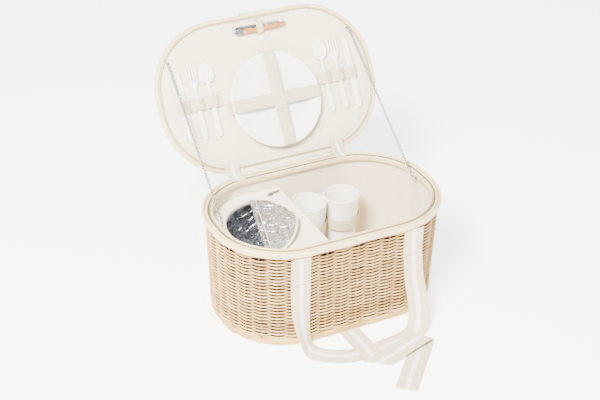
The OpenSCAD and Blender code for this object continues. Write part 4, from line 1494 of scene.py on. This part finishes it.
loop_corners = [(-0.0148, -0.0027), (-0.0132, -0.0020), (-0.0126, 0.0020), (-0.0112, 0.0056),
                (-0.006, 0.0068),
                (0.002, 0.0070), (0.010, 0.0068), (0.0152, 0.0056), (0.0164, 0.0020), (0.0168, -0.0020),
                (0.0182, -0.0027)]
loop_line = bezier_points([(0.0075, 0.282 + a, b) for a, b in loop_corners], 6)
made = piece("corkscrew_elastic", strap(loop_line, (1, 0, 0), 0.013, 0.0010), None, ELASTIC,
             ["corkscrew_loop"], lid=True)
blended(made)
print("corkscrew built")

# %% [markdown]
# ## Chains and eyes
# A Geometry Nodes tree sets oval links along a line, each one turned a quarter from the last.
# The lower chain half rides on the basket and the upper on the lid.

# %% Chain tree
def make_chain_tree():
    tree = Tree("set links along a line", Links="Int", Start="Vector", End="Vector", Length="Float",
                Width="Float", Wire="Float", Material="Material")
    line = tree.add("GeometryNodeMeshLine", settings={"mode": "END_POINTS"}, Count=tree.given("Links"),
                    Start_Location=tree.given("Start"), Offset=tree.given("End"))
    ring = tree.add("GeometryNodeCurvePrimitiveCircle", Resolution=16, Radius=1.0)
    size = tree.add("ShaderNodeCombineXYZ", X=tree.given("Length"), Y=tree.given("Width"), Z=1.0)
    oval_ring = tree.add("GeometryNodeTransform", Geometry=ring, Scale=size)
    wire = tree.add("GeometryNodeCurvePrimitiveCircle", Resolution=7, Radius=tree.given("Wire"))
    link = tree.add("GeometryNodeCurveToMesh", Curve=oval_ring, Profile_Curve=wire)
    heading = tree.add("ShaderNodeVectorMath", settings={"operation": "SUBTRACT"}, _0=tree.given("End"),
                       _1=tree.given("Start"))
    along = tree.add("FunctionNodeAlignRotationToVector", settings={"axis": "X"}, Vector=heading)
    number = tree.add("GeometryNodeInputIndex")
    angle = tree.add("ShaderNodeMath", settings={"operation": "MULTIPLY"}, _0=number, _1=math.pi / 2)
    twist = tree.add("FunctionNodeAxisAngleToRotation", Axis=(1, 0, 0), Angle=angle)
    turned_link = tree.add("FunctionNodeRotateRotation", settings={"rotation_space": "LOCAL"},
                           Rotation=along,
                           Rotate_By=twist)
    links = tree.add("GeometryNodeInstanceOnPoints", Points=line, Instance=link, Rotation=turned_link)
    return tree.finish(links)


CHAIN = make_chain_tree()


def chain_part(start, end, pitch=0.0051):
    seed_mesh = bpy.data.meshes.new("seed")
    count = max(2, round((end - start).length / pitch) + 1)
    return run(CHAIN, seed_mesh, Links=count, Start=tuple(start), End=tuple(end), Length=0.0038,
               Width=0.0026, Wire=0.00085, Material=STEEL)


def screw_eye(place, along_dir, radius=0.0026):
    """A small ring just above a round washer."""
    spin = Vector(along_dir).to_track_quat("Z", "Y").to_matrix().to_4x4()
    ring = [(radius * math.cos(t), 0, radius * math.sin(t) + radius + 0.0012) for t in
            np.linspace(0, 2 * math.pi, 20, endpoint=False)]
    washer = turned([(0.0002, 0), (0.0024, 0), (0.0027, 0.0004), (0.0022, 0.0009), (0.0002, 0.0011)],
                    (0, 0), 20)
    mesh = joined([strands([ring], 0.0007, STEEL, 7), washer])
    mesh.transform(Matrix.Translation(place) @ spin)
    return mesh


for side, way in (("left", -1), ("right", 1)):
    low_end = Vector((way * 0.2095, 0.008, 0.211))
    high_end = LID @ Vector((way * 0.202, 0.246, 0.0040))
    middle = (low_end + high_end) / 2
    step = (high_end - low_end).normalized() * 0.0026
    lower = chain_part(low_end + step, middle - step)
    upper = chain_part(middle + step, high_end - step)
    made = piece("chain_" + side + "_lower", lower, "root", None, ["chain_lower_" + side])
    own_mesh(made)
    made = piece("chain_" + side + "_upper", upper, "lid", None, ["chain_upper_" + side])
    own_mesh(made)
    inward = Vector((-way, 0, 0))
    piece("basket_eye_" + side, screw_eye((way * 0.2164, 0.008, 0.211), inward), "root", STEEL,
          ["chain_eye_" + side])
    piece("lid_eye_" + side + "_ring",
          screw_eye(LID @ Vector((way * 0.202, 0.246, -0.0030)), LID_ACROSS, 0.0024),
          "lid", STEEL, ["lid_eye_" + side])
print("chains built")

# %% [markdown]
# ## Webbing handles
# The front handle hangs from two patches, runs down the wall and lies in a curve on the floor.
# The rear handle is its mirror. Each patch is a flat piece of webbing with sewn boxes.

# %% Handles
HANDLE_ROUTE = [
    ((-0.121, -0.1518, 0.146), (1, 0, 0)), ((-0.121, -0.1516, 0.120), (1, 0.03, 0)),
    ((-0.1205, -0.1526, 0.090), (0.99, 0.12, 0)), ((-0.1190, -0.1560, 0.058), (0.93, 0.36, 0)),
    ((-0.1165, -0.1625, 0.030), (0.80, 0.60, 0)), ((-0.1135, -0.1690, 0.0125), (0.74, 0.67, 0)),
    ((-0.1070, -0.1790, 0.0034), (0.70, 0.71, 0)), ((-0.0950, -0.1920, 0.0018), (0.62, 0.78, 0)),
    ((-0.0740, -0.2070, 0.0017), (0.42, 0.91, 0)), ((-0.042, -0.2180, 0.0016), (0.15, 0.99, 0)),
    ((0.000, -0.2220, 0.0016), (-0.02, 1, 0)), ((0.044, -0.2180, 0.0016), (-0.12, 1, 0)),
    ((0.082, -0.2110, 0.0020), (-0.3, 0.95, 0)), ((0.107, -0.2020, 0.0062), (-0.6, 0.8, 0.05)),
    ((0.120, -0.1880, 0.0230), (-0.85, 0.5, 0.1)), ((0.1245, -0.1720, 0.058), (-0.97, 0.2, 0.05)),
    ((0.1225, -0.1580, 0.100), (-1, 0.05, 0)), ((0.121, -0.1518, 0.146), (-1, 0, 0))]


def handle_mesh(side):
    points, widths = smooth_route(HANDLE_ROUTE, 9)
    sway = np.sin(np.linspace(0, math.pi * 5, len(points))) * 0.0006
    points[:, 1] += sway * np.clip(points[:, 2] / 0.05, 0, 1)
    mesh = strap(points, widths, 0.0415, 0.0017, 0.0004)
    if side > 0:
        mesh.transform(Matrix.Scale(-1, 4, (0, 1, 0)))
        mesh.flip_normals()
    length = np.linalg.norm(np.diff(points, axis=0), axis=1).sum()
    return mesh, float(length)


def patch_mesh(x, side):
    """Webbing sewn flat to the wall under the rim."""
    rows = []
    for z in np.linspace(0.1425, 0.2052, 12):
        scale = float(shrink(z))
        y = side * ((HALF_DEPTH - 0.0040) * scale + 0.0004 * math.sin(z * 300))
        rows.append((x, y, z))
    return strap(rows, (side, 0, 0), 0.0412, 0.0018)


def sewn_box(x, side, low, high):
    """The stitched rectangle that holds a strap end."""
    def spot(a, z):
        return (x + a, side * ((HALF_DEPTH - 0.0029) * float(shrink(z))), z)
    left, right = -0.0175, 0.0175
    corners = [(left, low), (right, low), (right, high), (left, high), (left, low)]
    return [[spot(a + (c - a) * t, z + (w - z) * t) for t in np.linspace(0, 1, 12)]
            for (a, z), (c, w) in zip(corners[:-1], corners[1:])]


for side, end in ((-1, "front"), (1, "rear")):
    mesh, strap_length = handle_mesh(side)
    made = piece("handle_" + end + "_webbing", mesh, end + "_handle", WEBBING, ["handle_" + end])
    for way, where in ((-1, "left"), (1, "right")):
        name = "patch_" + end + "_" + where
        piece(name + "_webbing", patch_mesh(way * 0.121, side), "root", WEBBING, [name])
        lines = sewn_box(way * 0.121, side, 0.1465, 0.1535) + sewn_box(way * 0.121, side, 0.197, 0.2025)
        sewn = beads(lines, 0.0029, (0.00032, 0.00032, 0.0010), THREAD, closed=False)
        piece(name + "_stitches", sewn, "root", None, [])
print("handle length", round(strap_length, 3))

# %% [markdown]
# ## Closing strap
# The closing strap is one straight ribbon folded twice. It comes out from under the basket,
# folds up over itself at a slant, then turns back down in a soft loop and ends in a sewn hem.
# Each fold rolls whatever lies past its crease round a small radius, so no cloth is stretched.

# %% Closing strap
STRAP_WIDTH = 0.0415
STRAP_START = np.array([-0.010, -0.114])
TURN_ONE, TURN_TWO = math.radians(17), math.radians(228.5)
CREASE_ONE = np.array([-0.010, -0.2648])
CREASE_TWO = CREASE_ONE + 0.126 * np.array([math.cos(TURN_ONE), math.sin(TURN_ONE)])
LENGTH_ONE = STRAP_START[1] - CREASE_ONE[1]
LENGTH_TWO = LENGTH_ONE + 0.126
STRAP_LENGTH = LENGTH_TWO + 0.168
LIFT_AT = (0, 0.05, 0.074, 0.09, 0.128, 0.145, 0.17, 0.20, 0.24, 0.268, 0.285, 0.36, 0.39, 0.42, 0.46)
LIFT = (0.0016, 0.0019, 0.0036, 0.0044, 0.0044, 0.0032, 0.0032, 0.0042, 0.0070, 0.0082, 0.0082,
        0.0082, 0.0092, 0.0082, 0.0082)


def fold(points, middle, crease, heading_in, heading_out, radius, way):
    """Roll points past a slanted crease through half a turn, up (way 1) or down (way -1)."""
    across = (heading_in + heading_out) / 2 - math.pi / 2
    normal = np.array([math.cos(across), math.sin(across)])
    if normal @ [math.cos(heading_in), math.sin(heading_in)] < 0:
        normal = -normal
    start = crease - normal * radius * math.pi / 2
    past = (points[:, :2] - start) @ normal
    angle = np.clip(past / radius, 0, math.pi)
    beyond = np.maximum(past - math.pi * radius, 0)
    offset = points[:, 2] - middle
    reach = np.minimum(past, 0) + radius * np.sin(angle) - beyond - way * offset * np.sin(angle)
    folded = points.copy()
    folded[:, :2] += np.outer(reach - past, normal)
    folded[:, 2] = middle + way * radius * (1 - np.cos(angle)) + offset * np.cos(angle)
    return folded


def closing_place(flat):
    """Where a spot of the straight ribbon, given as across, along and up, ends on the floor."""
    flat = np.asarray(flat, float)
    points = np.stack([STRAP_START[0] + flat[:, 0], STRAP_START[1] - flat[:, 1], flat[:, 2]], -1)
    points = fold(points, 0.0, CREASE_ONE, -math.pi / 2, TURN_ONE, 0.0015, 1)
    last = flat[:, 1] > (LENGTH_ONE + LENGTH_TWO) / 2
    points[last] = fold(points[last], 0.0030, CREASE_TWO, TURN_ONE, TURN_TWO, 0.0048, -1)
    points[:, 2] += np.interp(flat[:, 1], LIFT_AT, LIFT)
    return points


def ribbon(first, last, width, thickness, height=0.0, across_steps=26):
    """A stretch of the strap as a thin closed ribbon, fine near the folds."""
    fine = [(LENGTH_ONE - 0.024, LENGTH_ONE + 0.024), (LENGTH_TWO - 0.028, LENGTH_TWO + 0.028)]
    along = [first]
    while along[-1] < last:
        near = any(low < along[-1] < high for low, high in fine)
        along.append(min(last, along[-1] + (0.0010 if near else 0.0045)))
    share = np.linspace(0, 1, across_steps)
    sections, uv = [], np.zeros((len(along), 2 * across_steps + 1, 2))
    for k, v in enumerate(along):
        flat = [((t - 0.5) * width, v, height + thickness / 2) for t in share]
        flat += [((t - 0.5) * width, v, height - thickness / 2) for t in share[::-1]]
        sections.append(closing_place(flat))
        uv[k, :, 0] = [*share, *share[::-1], share[0]]
        uv[k, :, 1] = v
    return loft(sections, uv)


def sewn_across(v, height):
    return closing_place([(a, v, height) for a in np.linspace(-0.0190, 0.0190, 14)])


HEM = 0.017
layers = [ribbon(0.0, STRAP_LENGTH, STRAP_WIDTH, 0.0016),
          ribbon(STRAP_LENGTH - HEM, STRAP_LENGTH, 0.0412, 0.0010, 0.0012)]
made = piece("closing_strap_webbing", joined(layers), "root", WEBBING, ["closing_strap"])
sewn_lines = [sewn_across(STRAP_LENGTH - v, 0.0019) for v in (0.0145, 0.0020)]
sewn = beads(sewn_lines, 0.0031, (0.00034, 0.00034, 0.0011), THREAD, closed=False)
piece("closing_strap_stitches", sewn, "root", None, [])
print("closing strap length", round(float(STRAP_LENGTH), 3))

# %% [markdown]
# ## Hinge tabs, lid keeper and cup elastic
# Two webbing tabs sewn to the rim and the lid are the hinge; each is placed once in the basket's frame and
# rides on no moving body.
# A short keeper on the lid's far edge holds the closing strap.

# %% Hinge tabs, keeper and cup elastic
for side, way in (("left", -1), ("right", 1)):
    x = way * 0.118
    low_points = [(x, 0.1345, 0.2206), (x, 0.142, 0.2207), (x, 0.150, 0.2209), (x, 0.1555, 0.2216)]
    high_points = [tuple(LID @ Vector((x, v, n))) for v,
                   n in ((0.0035, -0.0009), (0.010, -0.0008), (0.017, -0.0008),
                                                             (0.0235, -0.0009))]
    line = smooth_route([(p, (1, 0, 0)) for p in low_points + high_points], 6)[0]
    made = piece("hinge_tab_" + side, strap(line, (1, 0, 0), 0.030, 0.0009), None, WEBBING,
                 ["hinge_tab_" + side + "_lower", "hinge_tab_" + side + "_upper"])
    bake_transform(made)
    low_line = [[(x + a, 0.1375, 0.2214) for a in np.linspace(-0.0135, 0.0135, 9)]]
    high_line = [[(x + a, 0.0210, -0.0001) for a in np.linspace(-0.0135, 0.0135, 9)]]
    piece("hinge_stitches_" + side, beads(low_line, 0.003, (0.0003, 0.0003, 0.001), THREAD, closed=False),
          "root", None, [])
    piece("hinge_stitches_" + side + "_lid",
          beads(high_line, 0.003, (0.0003, 0.0003, 0.001), THREAD, closed=False),
          "lid", None, [], lid=True)

gusset_line = [(0, 0.1500, 0.2204), (0, 0.1545, 0.2206), (0, 0.1570, 0.2200)]
gusset_line += [tuple(LID @ Vector((0, v, n))) for v,
                n in ((-0.0004, -0.0040), (0.0006, -0.0018), (0.0050, -0.0010),
                                                        (0.0085, -0.0010))]
gusset = smooth_route([(p, (1, 0, 0)) for p in gusset_line], 5)[0]
made = piece("hinge_gusset", strap(gusset, (1, 0, 0), 0.205, 0.0007), None, LINING, [])
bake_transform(made)

keeper_line = bezier_points([(0, 0.3118, -0.0026), (0, 0.3150, -0.0030), (0, 0.3166, -0.0060),
                             (0, 0.3168, -0.0110),
                             (0, 0.3150, -0.0138), (0, 0.3120, -0.0141)], 6)
keeper_line[:, 0] += 0.005
piece("lid_strap_keeper", strap(keeper_line, (1, 0, 0), 0.058, 0.0010), "lid", WEBBING, ["strap_keeper"],
      lid=True)

CUP_X = (0.012, 0.087)
CUP_Y = 0.084


def cup_elastic():
    band_radius = 0.0370
    turn = np.linspace(0, math.pi, 40)
    line = []
    for x in CUP_X[::-1]:
        side_right = [(x + band_radius, y) for y in np.linspace(0.1285, CUP_Y, 8, endpoint=False)]
        front = [(x + band_radius * math.cos(t), CUP_Y - band_radius * math.sin(t)) for t in turn]
        side_left = [(x - band_radius, y) for y in np.linspace(CUP_Y, 0.1300, 9)[1:]]
        line += side_right + front + side_left
        if x == CUP_X[1]:
            line.append((x - band_radius - 0.0004, 0.1332))
    return line


ring = [(x, y, 0.1105) for x, y in cup_elastic()]
mesh = strap(ring, (0, 0, 1), 0.025, 0.0010)
piece("cup_elastic_band", mesh, "root", ELASTIC, ["cup_band"])
print("straps built")
